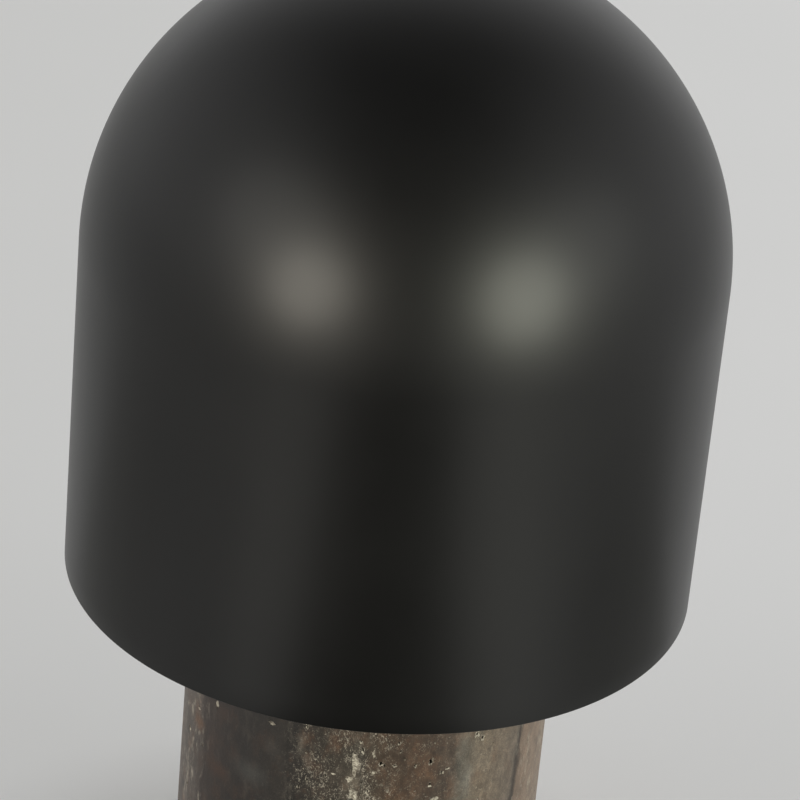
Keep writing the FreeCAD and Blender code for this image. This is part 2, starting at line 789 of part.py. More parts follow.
# The dome's section is two tangent arcs: a shoulder that starts upright at the wall, and a
# slightly flatter crown over the pole. The shoulder's radius follows from the other sizes.
SHOULDER_RADIUS = (
    "((Dim.crown_radius ^ 2 - (Dim.shade_dia / 2) ^ 2 - (Dim.crown_radius - Dim.dome_rise) ^ 2)"
    " / (2 * Dim.crown_radius - Dim.shade_dia))"
)
SHOULDER_X = "(Dim.shade_dia / 2 - %s)" % SHOULDER_RADIUS
CROWN_CENTRE = "(%s + Dim.dome_rise - Dim.crown_radius)" % SPRING


def dome_arcs(inset, low, high):
    """The dome's section moved in by inset, from a height on its shoulder to one on its crown."""
    crown_centre = spot("0", CROWN_CENTRE)
    shoulder_centre = spot(SHOULDER_X, SPRING)
    crown = number("Dim.crown_radius") - inset
    shoulder = number(SHOULDER_RADIUS) - inset
    between = shoulder_centre - crown_centre
    join = math.atan2(between.y, between.x)
    start = math.asin((low - shoulder_centre.y) / shoulder)
    end = math.asin(min(1, (high - crown_centre.y) / crown))
    return [
        Part.ArcOfCircle(Part.Circle(shoulder_centre, UP, shoulder), start, join),
        Part.ArcOfCircle(Part.Circle(crown_centre, UP, crown), join, end),
    ]


def draw_dome(sketch, inset):
    """Half of the dome's section, bound to the sheet from the spring line to the pole."""
    spring = number(SPRING)
    pole = spring + number("Dim.dome_rise - (%s)" % inset)
    shoulder, crown = sketch.addGeometry(dome_arcs(number(inset), spring, pole))
    share = "((Dim.crown_radius - (%s)) / (Dim.crown_radius - %s))" % (inset, SHOULDER_RADIUS)
    join_x = "%s * %s" % (share, SHOULDER_X)
    join_z = "%s + %s * (%s - %s)" % (CROWN_CENTRE, share, SPRING, CROWN_CENTRE)
    pin(sketch, shoulder, 3, SHOULDER_X, SPRING)
    pin(sketch, shoulder, 1, "%s - (%s)" % (SHADE_RADIUS, inset), SPRING)
    height = Sketcher.Constraint("DistanceY", -1, 1, shoulder, 2, number(join_z))
    sketch.setExpression("Constraints[%d]" % sketch.addConstraint(height), join_z)
    pin(sketch, crown, 3, "0", CROWN_CENTRE)
    pin(sketch, crown, 1, join_x, join_z)
    sketch.addConstraint(Sketcher.Constraint("PointOnObject", crown, 2, -2))


def make_shade_shell():
    """Spun sheet metal: a straight wall under a dome, with a rounded lower edge."""
    body = new_body("shade_shell")
    sketch = new_sketch(body, "XZ_Plane")
    draw_dome(sketch, "0")
    draw_dome(sketch, "Dim.shade_gauge")
    pole = SPRING + " + Dim.dome_rise"
    lines = [
        ((SHADE_RADIUS, "Dim.rim_height"), (SHADE_RADIUS, SPRING)),
        (("0", pole), ("0", pole + " - Dim.shade_gauge")),
        ((INNER_RADIUS, SPRING), (INNER_RADIUS, "Dim.rim_height")),
        ((INNER_RADIUS, "Dim.rim_height"), (SHADE_RADIUS, "Dim.rim_height")),
    ]
    for start, end in lines:
        index = sketch.addGeometry(Part.LineSegment(spot(*start), spot(*end)))
        pin(sketch, index, 1, *start)
        pin(sketch, index, 2, *end)
    revolve(body, sketch)
    rings = [(SHADE_RADIUS, "Dim.rim_height"), (INNER_RADIUS, "Dim.rim_height")]
    round_rings(body, rings, "Dim.shade_gauge * 0.45")


def make_shade_spider():
    """Three flat arms from the hub, each bent down into a tab welded to the dome."""
    body = doc.addObject("PartDesign::Body", "SpiderTurned")
    sketch = new_sketch(body, "XZ_Plane")
    bottom = number(ARM_BOTTOM)
    top = bottom + number("Dim.arm_gauge")
    tab_end = top - number("Dim.arm_tab_drop")
    hub = number("Dim.hub_dia") / 2
    outer = dome_arcs(number("Dim.shade_gauge + Dim.weld_gap"), tab_end, top)
    inner = dome_arcs(number("Dim.shade_gauge + Dim.arm_gauge"), tab_end, bottom)
    corners = [
        inner[-1].EndPoint,
        FreeCAD.Vector(hub, bottom, 0),
        FreeCAD.Vector(hub, top, 0),
        outer[-1].EndPoint,
    ]
    sketch.addGeometry(outer + inner)
    sketch.addGeometry([Part.LineSegment(start, end) for start, end in zip(corners, corners[1:])])
    sketch.addGeometry(Part.LineSegment(outer[0].StartPoint, inner[0].StartPoint))
    revolve(body, sketch)
    bars = []
    for step in range(3):
        turn = FreeCAD.Rotation(UP, 90 + 120 * step)
        shift = turn.multVec(FreeCAD.Vector(0, -number("Dim.arm_width") / 2, number(SPRING)))
        bar = doc.addObject("Part::Box", "Bar")
        bar.setExpression("Length", SHADE_RADIUS)
        bar.setExpression("Width", "Dim.arm_width")
        bar.setExpression("Height", "Dim.dome_rise")
        bar.Placement = FreeCAD.Placement(shift, turn)
        bars.append(bar)
    collar = cylinder("Dim.collar_dia", "Dim.dome_rise", ("0", "0", SPRING))
    common = doc.addObject("Part::MultiCommon", "Spider")
    common.Shapes = [body, joined(bars + [collar])]
    keep(common, "shade_spider")


def make_shade_hub():
    """A blind metal cup with a plastic bush, which drops over the stud's pin."""
    outer = "Dim.hub_dia / 2"
    inner = outer + " - Dim.hub_wall"
    ceiling = HUB_TOP + " - Dim.hub_wall"
    body = turned("shade_hub", [
        (inner, HUB_BOTTOM),
        (outer, HUB_BOTTOM),
        (outer, HUB_TOP),
        ("0", HUB_TOP),
        ("0", ceiling),
        (inner, ceiling),
    ])
    round_rings(body, [(outer, HUB_TOP)], "1")
    bore = "Dim.pin_dia + 2 * Dim.pin_fit"
    tube("hub_bush", "Dim.hub_dia - 2 * Dim.hub_wall - 0.1", bore, HUB_BOTTOM, ceiling + " - 0.2")


# --- lampholder ------------------------------------------------------------------------------

NECK_TOP = CAP_BOTTOM + " + Dim.cap_neck_rise"


def make_socket_cap():
    """The cup that screws on to the pipe, with a screw in its neck to lock it."""
    neck = "Dim.cap_neck_dia / 2"
    rim = "Dim.cap_dia / 2"
    bore = "(%s) / 2" % PIPE_BORE
    flare = NECK_TOP + " + Dim.cap_flare_rise"
    body = turned("socket_cap", [
        (bore, CAP_BOTTOM),
        (neck, CAP_BOTTOM),
        (neck, NECK_TOP + " - Dim.sheet_gauge"),
        (rim, flare),
        (rim, "Dim.cap_rim_height"),
        (rim + " - Dim.sheet_gauge", "Dim.cap_rim_height"),
        (rim + " - Dim.sheet_gauge", flare + " + 0.5"),
        (neck + " - 0.4", NECK_TOP),
        (bore, NECK_TOP),
    ])
    height = CAP_BOTTOM + " + Dim.set_screw_lift"
    hole = new_sketch(body, "XZ_Plane", "-Dim.cap_neck_dia")
    draw_circle(hole, "0", height, "Dim.set_screw_dia + 0.1")
    pocket(body, hole, "Dim.cap_neck_dia", reverse=True)
    head_start = bore + " + Dim.set_screw_length - 1"
    slot_start = head_start + " + Dim.set_screw_head_gauge - Dim.slot_depth"
    backward = (0, 1, 0)
    shank = lying_cylinder("Dim.set_screw_dia", "Dim.set_screw_length", ("0", bore, height), backward)
    head_place = ("0", head_start, height)
    head = lying_cylinder("Dim.set_screw_head_dia", "Dim.set_screw_head_gauge", head_place, backward)
    slot = block(
        ("Dim.slot_width", "Dim.slot_depth + 0.2", "Dim.set_screw_head_dia"),
        ("-Dim.slot_width / 2", slot_start, height + " - Dim.set_screw_head_dia / 2"),
    )
    keep(cut(joined([shank, head]), slot), "cap_set_screw")


def side_hole(body, diameter, reach):
    """Drill the front wall of a lampholder piece for the switch spindle."""
    sketch = new_sketch(body, "XZ_Plane", reach)
    draw_circle(sketch, "0", "Dim.spindle_height", diameter)
    pocket(body, sketch, "(%s) / 2 + 2" % reach)


def make_socket_shells():
    """The outer metal shell and the card sleeve that insulates it."""
    shell_bore = "Dim.shell_dia - 2 * Dim.shell_gauge"
    shell = tube("socket_shell", "Dim.shell_dia", shell_bore, "Dim.shell_bottom", "Dim.shell_top")
    side_hole(shell, "Dim.spindle_dia + 2 * Dim.spindle_room", "Dim.shell_dia / 2 + 1")
    liner_top = "Dim.shell_top - 1"
    liner_bore = "Dim.liner_dia - 2 * Dim.liner_gauge"
    liner = tube("insulating_liner", "Dim.liner_dia", liner_bore, "Dim.liner_bottom", liner_top)
    side_hole(liner, "Dim.spindle_dia + 2 * Dim.spindle_room + 0.4", "Dim.liner_dia / 2 + 1")


def make_socket_body():
    """The moulded core: flats for the terminals and a bearing hole for the spindle."""
    radius = "Dim.body_dia / 2"
    body = turned("socket_body", [
        ("0", "Dim.body_bottom"),
        (radius, "Dim.body_bottom"),
        (radius, "Dim.body_top"),
        ("0", "Dim.body_top"),
    ])
    side_hole(body, "Dim.spindle_dia + 0.1", radius)
    for sign in ("", "-"):
        flat = new_sketch(body, "XY_Plane", "Dim.body_bottom")
        inner = "%s(%s - Dim.flat_depth)" % (sign, radius)
        outer = "%s(%s + 1)" % (sign, radius)
        draw_outline(flat, [(inner, "-" + radius), (outer, "-" + radius), (outer, radius), (inner, radius)])
        pocket(body, flat, "Dim.terminal_height - Dim.body_bottom + 5", reverse=True)
        sketch = new_sketch(body, "YZ_Plane", inner)
        draw_circle(sketch, "0", "Dim.terminal_height", "Dim.terminal_screw_dia + 0.1")
        pocket(body, sketch, "Dim.terminal_screw_length", reverse=(sign == "-"))


def make_terminal_screws():
    screws = []
    for side in (-1, 1):
        shank_start = "%d * (Dim.body_dia / 2 - Dim.flat_depth - Dim.terminal_screw_length + 0.2)" % side
        head_start = "%d * (Dim.body_dia / 2 - Dim.flat_depth + 0.1)" % side
        shank_place = (shank_start, "0", "Dim.terminal_height")
        head_place = (head_start, "0", "Dim.terminal_height")
        for diameter, length, place in (
            ("Dim.terminal_screw_dia", "Dim.terminal_screw_length", shank_place),
            ("Dim.terminal_head_dia", "Dim.terminal_head_gauge", head_place),
        ):
            screws.append(lying_cylinder(diameter, length, place, (side, 0, 0)))
    keep(joined(screws), "terminal_screws")


def make_socket_contacts():
    """The brass screw shell that takes the bulb, and the leaf under the bulb's tip."""
    bore = "Dim.screw_shell_bore_dia / 2"
    outer = bore + " + Dim.screw_shell_gauge"
    floor = "Dim.body_top + Dim.screw_shell_gauge"
    top = "Dim.body_top + Dim.screw_shell_rise"
    turned("screw_shell", [
        (bore + " / 2", "Dim.body_top"),
        (outer, "Dim.body_top"),
        (outer, top),
        (bore, top),
        (bore, floor),
        (bore + " / 2", floor),
    ])
    leaf = new_body("centre_contact")
    sketch = new_sketch(leaf, "XZ_Plane")
    low = "Dim.body_top + Dim.contact_gauge"
    under = "Dim.body_top + Dim.contact_rise"
    over = under + " + Dim.contact_gauge"
    draw_outline(sketch, [
        ("-5.8", "Dim.body_top"),
        ("-2.5", "Dim.body_top"),
        ("-1.5", under),
        ("3", under),
        ("3", over),
        ("-1.8", over),
        ("-2.8", low),
        ("-5.8", low),
    ])
    pad(leaf, sketch, "Dim.contact_width", midplane=True)


def make_switch():
    """The switch's spindle and its fluted knob, which turn together about a level axis."""
    start = ("0", "-Dim.body_dia / 2 + Dim.spindle_inset", "Dim.spindle_height")
    length = "Dim.knob_front - Dim.knob_face - 0.4 - Dim.body_dia / 2 + Dim.spindle_inset"
    keep(lying_cylinder("Dim.spindle_dia", length, start, (0, -1, 0)), "switch_spindle")
    knob = new_body("switch_knob")
    disc = new_sketch(knob, "XY_Plane")
    draw_circle(disc, "0", "0", "Dim.knob_dia")
    pad(knob, disc, "Dim.knob_length")
    round_rings(knob, [("Dim.knob_dia / 2", "Dim.knob_length")], "Dim.knob_round")
    bore = new_sketch(knob, "XY_Plane", "Dim.knob_length - Dim.knob_face")
    draw_circle(bore, "0", "0", "Dim.spindle_dia + 0.1")
    pocket(knob, bore, "Dim.knob_length")
    flute = new_sketch(knob, "XY_Plane", "Dim.knob_length + 1")
    draw_circle(flute, "Dim.knob_dia / 2 + Dim.flute_dia / 4", "0", "Dim.flute_dia")
    cut_flute = pocket(knob, flute, "Dim.knob_length + 2")
    repeat(knob, [cut_flute], int(number("Dim.flute_count")))
    knob.Placement.Rotation = FreeCAD.Rotation(UP, FreeCAD.Vector(0, -1, 0))
    knob.setExpression("Placement.Base.y", "-Dim.knob_front + Dim.knob_length")
    knob.setExpression("Placement.Base.z", "Dim.spindle_height")


# --- bulb ------------------------------------------------------------------------------------

def bulb_side(inset):
    """One face of the glass as drawing elements, from the neck's foot up to the crown."""
    radius = number("Dim.bulb_dia") / 2 - inset
    neck = number("Dim.bulb_neck_dia") / 2 - inset
    centre_z = number("Dim.bulb_bottom + Dim.bulb_length - Dim.bulb_dia / 2")
    foot = FreeCAD.Vector(neck, number("Dim.bulb_cap_top - Dim.glass_sink"), 0)
    lean = math.radians(number("Dim.neck_lean"))
    touch = FreeCAD.Vector(radius * math.cos(lean), centre_z - radius * math.sin(lean), 0)
    corner = FreeCAD.Vector(neck, touch.y - (touch.x - neck) / math.tan(lean), 0)
    globe = Part.Circle(FreeCAD.Vector(0, centre_z, 0), UP, radius)
    edges = rounded_run([foot, corner, touch], [number("Dim.neck_bend") + inset])
    edges.append(Part.ArcOfCircle(globe, -lean, math.pi / 2))
    return edges, foot, FreeCAD.Vector(0, centre_z + radius, 0)


def make_bulb_glass():
    """The pear-shaped glass envelope."""
    body = new_body("bulb_glass")
    sketch = new_sketch(body, "XZ_Plane")
    outer, outer_foot, outer_crown = bulb_side(0)
    inner, inner_foot, inner_crown = bulb_side(number("Dim.glass_gauge"))
    sketch.addGeometry(outer + inner)
    sketch.addGeometry(Part.LineSegment(outer_foot, inner_foot))
    sketch.addGeometry(Part.LineSegment(outer_crown, inner_crown))
    revolve(body, sketch)


def make_bulb_base():
    """The screw cap, the glass insulator under it, the tip contact and the stem inside."""
    tip = "Dim.bulb_bottom"
    glass_foot = "Dim.bulb_cap_top - Dim.glass_sink"
    cap = "Dim.bulb_cap_dia / 2"
    flare = "Dim.bulb_neck_dia / 2 - Dim.glass_gauge - 0.1"
    turned("bulb_contact", [
        ("0", tip),
        ("3.2", tip),
        ("4.4", tip + " + 1.1"),
        ("0", tip + " + 1.1"),
    ])
    turned("bulb_insulator", [
        ("0", tip + " + 1.1"),
        ("4.8", tip + " + 1.1"),
        (cap + " - 2.6", tip + " + 4.1"),
        ("0", tip + " + 4.1"),
    ])
    turned("bulb_cap", [
        ("0", tip + " + 4.1"),
        (cap + " - 1.2", tip + " + 4.1"),
        (cap, tip + " + 5.6"),
        (cap, "Dim.bulb_cap_top"),
        (cap + " - Dim.bulb_cap_gauge", "Dim.bulb_cap_top"),
        (cap + " - Dim.bulb_cap_gauge", tip + " + 6"),
        (cap + " - 1.4", tip + " + 4.1 + Dim.bulb_cap_gauge"),
        ("0", tip + " + 4.1 + Dim.bulb_cap_gauge"),
    ])
    turned("bulb_stem", [
        ("0", glass_foot),
        (flare, glass_foot),
        (flare, glass_foot + " + 1.2"),
        ("3", glass_foot + " + 9"),
        ("2.2", glass_foot + " + 38"),
        ("0", glass_foot + " + 40"),
    ])


# --- the whole lamp --------------------------------------------------------------------------

make_stone_base()
make_felt_pad()
make_bottom_plate()
make_plate_screws()
make_screw_anchors()
make_cord_bushing()
make_pipe_set()
make_terminal_block()
make_lead("live_lead", 1)
make_lead("neutral_lead", -1)
make_harp_saddle()
make_harp()
make_harp_sleeve("harp_sleeve_right", 1)
make_harp_sleeve("harp_sleeve_left", -1)
make_swivel_stud()
make_stud_clip()
make_shade_shell()
make_shade_spider()
make_shade_hub()
make_socket_cap()
make_socket_shells()
make_socket_body()
make_terminal_screws()
make_socket_contacts()
make_switch()
make_bulb_glass()
make_bulb_base()
doc.recompute()

for item in doc.Objects:
    if "Invalid" in item.State or "Error" in item.State:
        raise RuntimeError("%s (%s) failed: %s" % (item.Label, item.TypeId, item.State))
for label, piece in NODES.items():
    if piece.Shape.isNull() or not piece.Shape.isValid() or piece.Shape.Volume <= 0:
        raise RuntimeError("%s has no valid solid" % label)

os.makedirs("parts", exist_ok=True)
for label, piece in NODES.items():
    piece.Shape.exportStep("parts/%s.step" % label)
print("%d nodes written" % len(NODES))
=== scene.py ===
"""The looks of the table lamp: a dark travertine drum under a deep, satin black metal shade.

Metres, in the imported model's frame: +Z is up, the front is towards -Y, and the origin is on the
table under the lamp's axis. The camera stands where the photograph's did.
"""
import json
import math
import random

import bmesh
import bpy
from mathutils import Matrix, Vector, noise


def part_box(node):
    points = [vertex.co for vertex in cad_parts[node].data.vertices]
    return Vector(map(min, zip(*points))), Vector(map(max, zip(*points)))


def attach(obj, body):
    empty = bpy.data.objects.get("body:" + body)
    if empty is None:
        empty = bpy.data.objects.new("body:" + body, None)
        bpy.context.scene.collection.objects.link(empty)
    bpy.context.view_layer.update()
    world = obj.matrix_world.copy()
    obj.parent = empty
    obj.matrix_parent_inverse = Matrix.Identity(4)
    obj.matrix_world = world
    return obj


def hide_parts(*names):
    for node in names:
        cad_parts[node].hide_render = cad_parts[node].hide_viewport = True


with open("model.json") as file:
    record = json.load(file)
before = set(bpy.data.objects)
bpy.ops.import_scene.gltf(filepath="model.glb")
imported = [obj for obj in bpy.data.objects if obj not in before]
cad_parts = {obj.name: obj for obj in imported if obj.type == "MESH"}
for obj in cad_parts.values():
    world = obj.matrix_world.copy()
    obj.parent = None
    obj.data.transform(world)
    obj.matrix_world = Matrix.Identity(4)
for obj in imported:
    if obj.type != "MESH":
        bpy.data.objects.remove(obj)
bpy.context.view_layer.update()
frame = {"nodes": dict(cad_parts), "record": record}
NODES = frame["nodes"]
MM = 0.001

# --- driving sizes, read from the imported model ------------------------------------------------

stone_low, stone_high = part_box("stone_base")
shade_low, shade_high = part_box("shade_shell")
felt_low, felt_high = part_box("felt_pad")
plate_low, plate_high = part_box("bottom_plate")
bushing_low, bushing_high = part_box("cord_bushing")
cap_low, cap_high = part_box("bulb_cap")
screw_low, screw_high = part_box("screw_shell")

STONE_RADIUS = stone_high.x
STONE_TOP = stone_high.z
STONE_FOOT = stone_low.z
SHADE_RADIUS = shade_high.x
RIM = shade_low.z
SHADE_TOP = shade_high.z

# --- sizes that the model has and its boxes don't show ----------------------------------------

STONE_ROUND = 1.6 * MM
RECESS_RADIUS = 52 * MM
RECESS_TOP = 32 * MM
PIPE_HOLE = 6 * MM
PLATE_GAP = 0.3 * MM
INLET_HEIGHT = 16 * MM
INLET_HOLE = 6.55 * MM
INLET_SEAT = 9.1 * MM
INLET_SEAT_DEPTH = 2 * MM
INLET_BORE = 4 * MM
INLET_STEM = 6.5 * MM
ANCHOR_RING = 59 * MM
ANCHOR_HOLE = 3.55 * MM
ANCHOR_HOLE_DEPTH = 14 * MM
SHADE_GAUGE = 1.2 * MM
WALL_RISE = 140 * MM
CROWN_RADIUS = 130 * MM
# the angle, up from level, at which the shoulder's arc gives way to the crown's
SHOULDER_END = math.atan2(4, 3)
THREAD_PITCH = 3.6 * MM
THREAD_DEPTH = 0.9 * MM
CAP_GAUGE = 0.6 * MM
SCREW_GAUGE = 0.5 * MM
# how far a cutter stands out of what it cuts
CUT_OVERLAP = 4 * MM


# --- making meshes ----------------------------------------------------------------------------

def rounded(corners, steps=5):
    """A section's corners (radius, height, rounding) with each rounding drawn as a short arc."""
    points = []
    count = len(corners)
    for index, (across, height, rounding) in enumerate(corners):
        here = Vector((across, height))
        if rounding == 0:
            points.append(here)
            continue
        back = (Vector(corners[index - 1][:2]) - here).normalized()
        ahead = (Vector(corners[(index + 1) % count][:2]) - here).normalized()
        half = back.angle(ahead) / 2
        centre = here + (back + ahead).normalized() * rounding / math.sin(half)
        start = here + back * rounding / math.tan(half) - centre
        end = here + ahead * rounding / math.tan(half) - centre
        sweep = start.angle_signed(end)
        for step in range(steps + 1):
            points.append(centre + Matrix.Rotation(-sweep * step / steps, 2) @ start)
    return points


def divided(points, longest):
    """The closed section with points added, so that no side is longer than this."""
    result = []
    for index, here in enumerate(points):
        ahead = points[(index + 1) % len(points)]
        pieces = max(1, math.ceil((ahead - here).length / longest))
        for step in range(pieces):
            result.append(here.lerp(ahead, step / pieces))
    return result


def lathe(bm, points, segments, closed=True):
    """Turns a section of (radius, height) points about the Z axis. A radius of 0 is a pole."""
    rings = []
    for across, height in points:
        if across < 1e-7:
            rings.append([bm.verts.new((0, 0, height))])
            continue
        ring = []
        for step in range(segments):
            angle = 2 * math.pi * step / segments
            ring.append(bm.verts.new((across * math.cos(angle), across * math.sin(angle), height)))
        rings.append(ring)
    pairs = list(zip(rings, rings[1:]))
    if closed:
        pairs.append((rings[-1], rings[0]))
    for lower, upper in pairs:
        if len(lower) == 1 and len(upper) == 1:
            continue
        for step in range(segments):
            after = (step + 1) % segments
            corners = [lower[step % len(lower)], lower[after % len(lower)]]
            corners += [upper[after % len(upper)], upper[step % len(upper)]]
            bm.faces.new(list(dict.fromkeys(corners)))


def finished(bm, name, sharp_angle=35):
    """Turns the working mesh into an object with smooth faces and crisp edges."""
    bmesh.ops.recalc_face_normals(bm, faces=bm.faces)
    mesh = bpy.data.meshes.new(name)
    bm.to_mesh(mesh)
    bm.free()
    piece = bpy.data.objects.new(name, mesh)
    bpy.context.scene.collection.objects.link(piece)
    shade_smooth(piece, sharp_angle)
    return piece


def shade_smooth(piece, sharp_angle):
    piece.data.polygons.foreach_set("use_smooth", [True] * len(piece.data.polygons))
    piece.data.set_sharp_from_angle(angle=math.radians(sharp_angle))


def cut_away(piece, cutter):
    """Takes the cutter out of the piece and removes the cutter."""
    modifier = piece.modifiers.new("Cut", "BOOLEAN")
    modifier.operation = "DIFFERENCE"
    modifier.solver = "MANIFOLD"
    modifier.object = cutter
    bpy.context.view_layer.update()
    graph = bpy.context.evaluated_depsgraph_get()
    mesh = bpy.data.meshes.new_from_object(piece.evaluated_get(graph))
    piece.modifiers.clear()
    old = piece.data
    piece.data = mesh
    bpy.data.meshes.remove(old)
    bpy.data.objects.remove(cutter)
    piece.data.name = piece.name


# --- making materials -------------------------------------------------------------------------

def tone(red, green, blue):
    """A screen colour from 0 to 255 as the linear colour that the shader takes."""
    def linear(value):
        value /= 255
        return value / 12.92 if value <= 0.04045 else ((value + 0.055) / 1.055) ** 2.4
    return linear(red), linear(green), linear(blue), 1


def feed(tree, value, socket):
    """Links another node's output to the socket, or sets the socket's own value."""
    if isinstance(value, bpy.types.NodeSocket):
        tree.links.new(value, socket)
    else:
        socket.default_value = value


def add_node(tree, kind, inputs=(), **settings):
    node = tree.nodes.new(kind)
    for key, value in settings.items():
        setattr(node, key, value)
    for socket, value in dict(inputs).items():
        feed(tree, value, node.inputs[socket])
    return node


class Look:
    """A procedural material in the making. Its coordinates are the model's own, in millimetres."""

    def __init__(self, name, **sockets):
        self.material = bpy.data.materials.new(name)
        self.material.use_nodes = True
        self.tree = self.material.node_tree
        self.shader = self.tree.nodes["Principled BSDF"]
        for socket, value in sockets.items():
            self.shader.inputs[socket.replace("_", " ")].default_value = value
        coords = self.node("ShaderNodeTexCoord").outputs["Object"]
        self.place = self.stretched(coords, (1000, 1000, 1000))

    def node(self, kind, inputs=(), **settings):
        return add_node(self.tree, kind, inputs, **settings)

    def stretched(self, place, factors):
        inputs = {0: place, 1: factors}
        return self.node("ShaderNodeVectorMath", inputs, operation="MULTIPLY").outputs[0]

    def moved(self, place, offset, amount):
        """The place shifted by an offset field that runs from 0 to 1 on each axis."""
        middle = {0: offset, 1: (0.5, 0.5, 0.5)}
        centred = self.node("ShaderNodeVectorMath", middle, operation="SUBTRACT").outputs[0]
        inputs = {0: centred, 1: amount, 2: place}
        return self.node("ShaderNodeVectorMath", inputs, operation="MULTIPLY_ADD").outputs[0]

    def noise(self, per_mm, detail, stretch=(1, 1, 1), place=None, rough=0.55, colour=False):
        """Noise with this many features in a millimetre, squeezed along each axis by stretch."""
        place = self.stretched(place or self.place, stretch)
        inputs = {"Vector": place, "Scale": per_mm, "Detail": detail, "Roughness": rough}
        return self.node("ShaderNodeTexNoise", inputs).outputs["Color" if colour else "Fac"]

    def math(self, operation, first, second=0.0, third=0.0):
        inputs = {0: first, 1: second, 2: third}
        return self.node("ShaderNodeMath", inputs, operation=operation).outputs[0]

    def spread(self, value, low, high, new_low=0.0, new_high=1.0, smooth=False):
        """The value's range from low to high, laid over a new range and held inside it."""
        kind = "SMOOTHSTEP" if smooth else "LINEAR"
        inputs = {0: value, 1: low, 2: high, 3: new_low, 4: new_high}
        return self.node("ShaderNodeMapRange", inputs, interpolation_type=kind).outputs[0]

    def ramp(self, value, stops):
        """The value as a colour, between stops of (position, colour) or (position, grey)."""
        node = self.node("ShaderNodeValToRGB", {"Fac": value})
        elements = node.color_ramp.elements
        while len(elements) < len(stops):
            elements.new(1.0)
        for element, (position, colour) in zip(elements, stops):
            element.position = position
            element.color = colour if hasattr(colour, "__len__") else (colour, colour, colour, 1)
        return node.outputs["Color"]

    def mix(self, share, first, second, blend="MIX"):
        inputs = {0: share, 6: first, 7: second}
        return self.node("ShaderNodeMix", inputs, data_type="RGBA", blend_type=blend).outputs[2]

    def bump(self, height, depth_mm, strength, under=None):
        inputs = {"Height": height, "Distance": depth_mm * MM, "Strength": strength}
        if under is not None:
            inputs["Normal"] = under
        return self.node("ShaderNodeBump", inputs).outputs[0]

    def set(self, **sockets):
        for socket, value in sockets.items():
            feed(self.tree, value, self.shader.inputs[socket.replace("_", " ")])
        return self.material

    def near(self, place, across, height, reach_across, reach_up, strength):
        """The strength at a spot seen from the front, fading to 0 at its reach."""
        centre = (across, 0, height)
        gap = self.node("ShaderNodeVectorMath", {0: place, 1: centre}, operation="SUBTRACT").outputs[0]
        gap = self.stretched(gap, (1 / reach_across, 0, 1 / reach_up))
        gap = self.node("ShaderNodeVectorMath", {0: gap}, operation="LENGTH").outputs["Value"]
        return self.spread(gap, 0.0, 1.0, strength, 0.0, smooth=True)

    def axes(self, place=None):
        return self.node("ShaderNodeSeparateXYZ", {0: place or self.place}).outputs

    def from_axis(self):
        """Distance from the lamp's axis, in millimetres."""
        flat = self.stretched(self.place, (1, 1, 0))
        return self.node("ShaderNodeVectorMath", {0: flat}, operation="LENGTH").outputs["Value"]


# --- the travertine drum ----------------------------------------------------------------------
# The stone is cut across its bedding: the beds are planes square to X, so on the front they are
# upright streaks. Each bed is (its left edge, how porous it is, its colour), with the edge as a
# share of the drum's radius.

BEDS = [
    (-1.00, 0.5, tone(84, 78, 74)),
    (-0.90, 0.5, tone(74, 68, 64)),
    (-0.85, 0.08, tone(48, 41, 38)),
    (-0.62, 0.05, tone(33, 30, 29)),
    (-0.40, 0.12, tone(33, 29, 26)),
    (-0.34, 0.8, tone(27, 23, 20)),
    (-0.16, 1.0, tone(45, 39, 33)),
    (0.02, 1.0, tone(51, 46, 40)),
    (0.14, 0.9, tone(56, 44, 34)),
    (0.38, 0.5, tone(52, 40, 31)),
    (0.50, 0.55, tone(62, 52, 44)),
    (0.54, 0.55, tone(77, 73, 66)),
    (0.66, 0.55, tone(95, 84, 72)),
    (0.83, 0.3, tone(91, 82, 74)),
    (0.848, 0.02, tone(34, 29, 27)),
    (0.866, 0.3, tone(106, 91, 80)),
    (1.00, 0.3, tone(117, 103, 92)),
]
CREAM = tone(168, 161, 148)
RUST = tone(88, 60, 41)
CHALK = tone(118, 110, 100)
# the painted shade deep in the pits
PORE_PAINTED_SHADE = tone(22, 18, 15)
CRUST_DIRTY = tone(92, 84, 74)
CRUST_CLEAN = tone(176, 170, 157)
# millimetres under the surface that the pits' colours run over
DEEPEST = 8
# stains: place across, height, reach across and reach up in millimetres, strength and colour
CLOUDS = (
    (-66.5, 75.0, 3.0, 6.0, 0.55, tone(96, 68, 46)),
    (-57.0, 62.0, 9.0, 6.0, 0.45, tone(66, 46, 34)),
    (-43.0, 70.0, 11.0, 8.0, 0.5, tone(62, 62, 60)),
    (-35.0, 86.0, 5.0, 6.0, 0.4, tone(58, 55, 52)),
    (-2.0, 78.0, 4.0, 9.0, 0.35, tone(120, 112, 100)),
    (18.0, 70.0, 9.0, 12.0, 0.35, tone(78, 55, 38)),
    (27.0, 84.0, 8.0, 12.0, 0.35, tone(80, 58, 41)),
    (43.5, 76.0, 3.4, 12.0, 0.5, tone(108, 106, 100)),
    (49.0, 82.0, 6.0, 10.0, 0.3, tone(112, 104, 94)),
)
# where pores line up, as shares of the drum's radius
PORE_LINES = (-0.93, -0.30, -0.21, -0.12, 0.0, 0.045, 0.13, 0.2, 0.31, 0.38, 0.52, 0.7)
PORE_COUNT = 470
CRUST_COUNT = 34
MOST_TRIES = 20000
SHARE_ON_LINES = 0.62
SHARE_ON_TOP = 0.13
LARGEST_PORE = 2.6 * MM
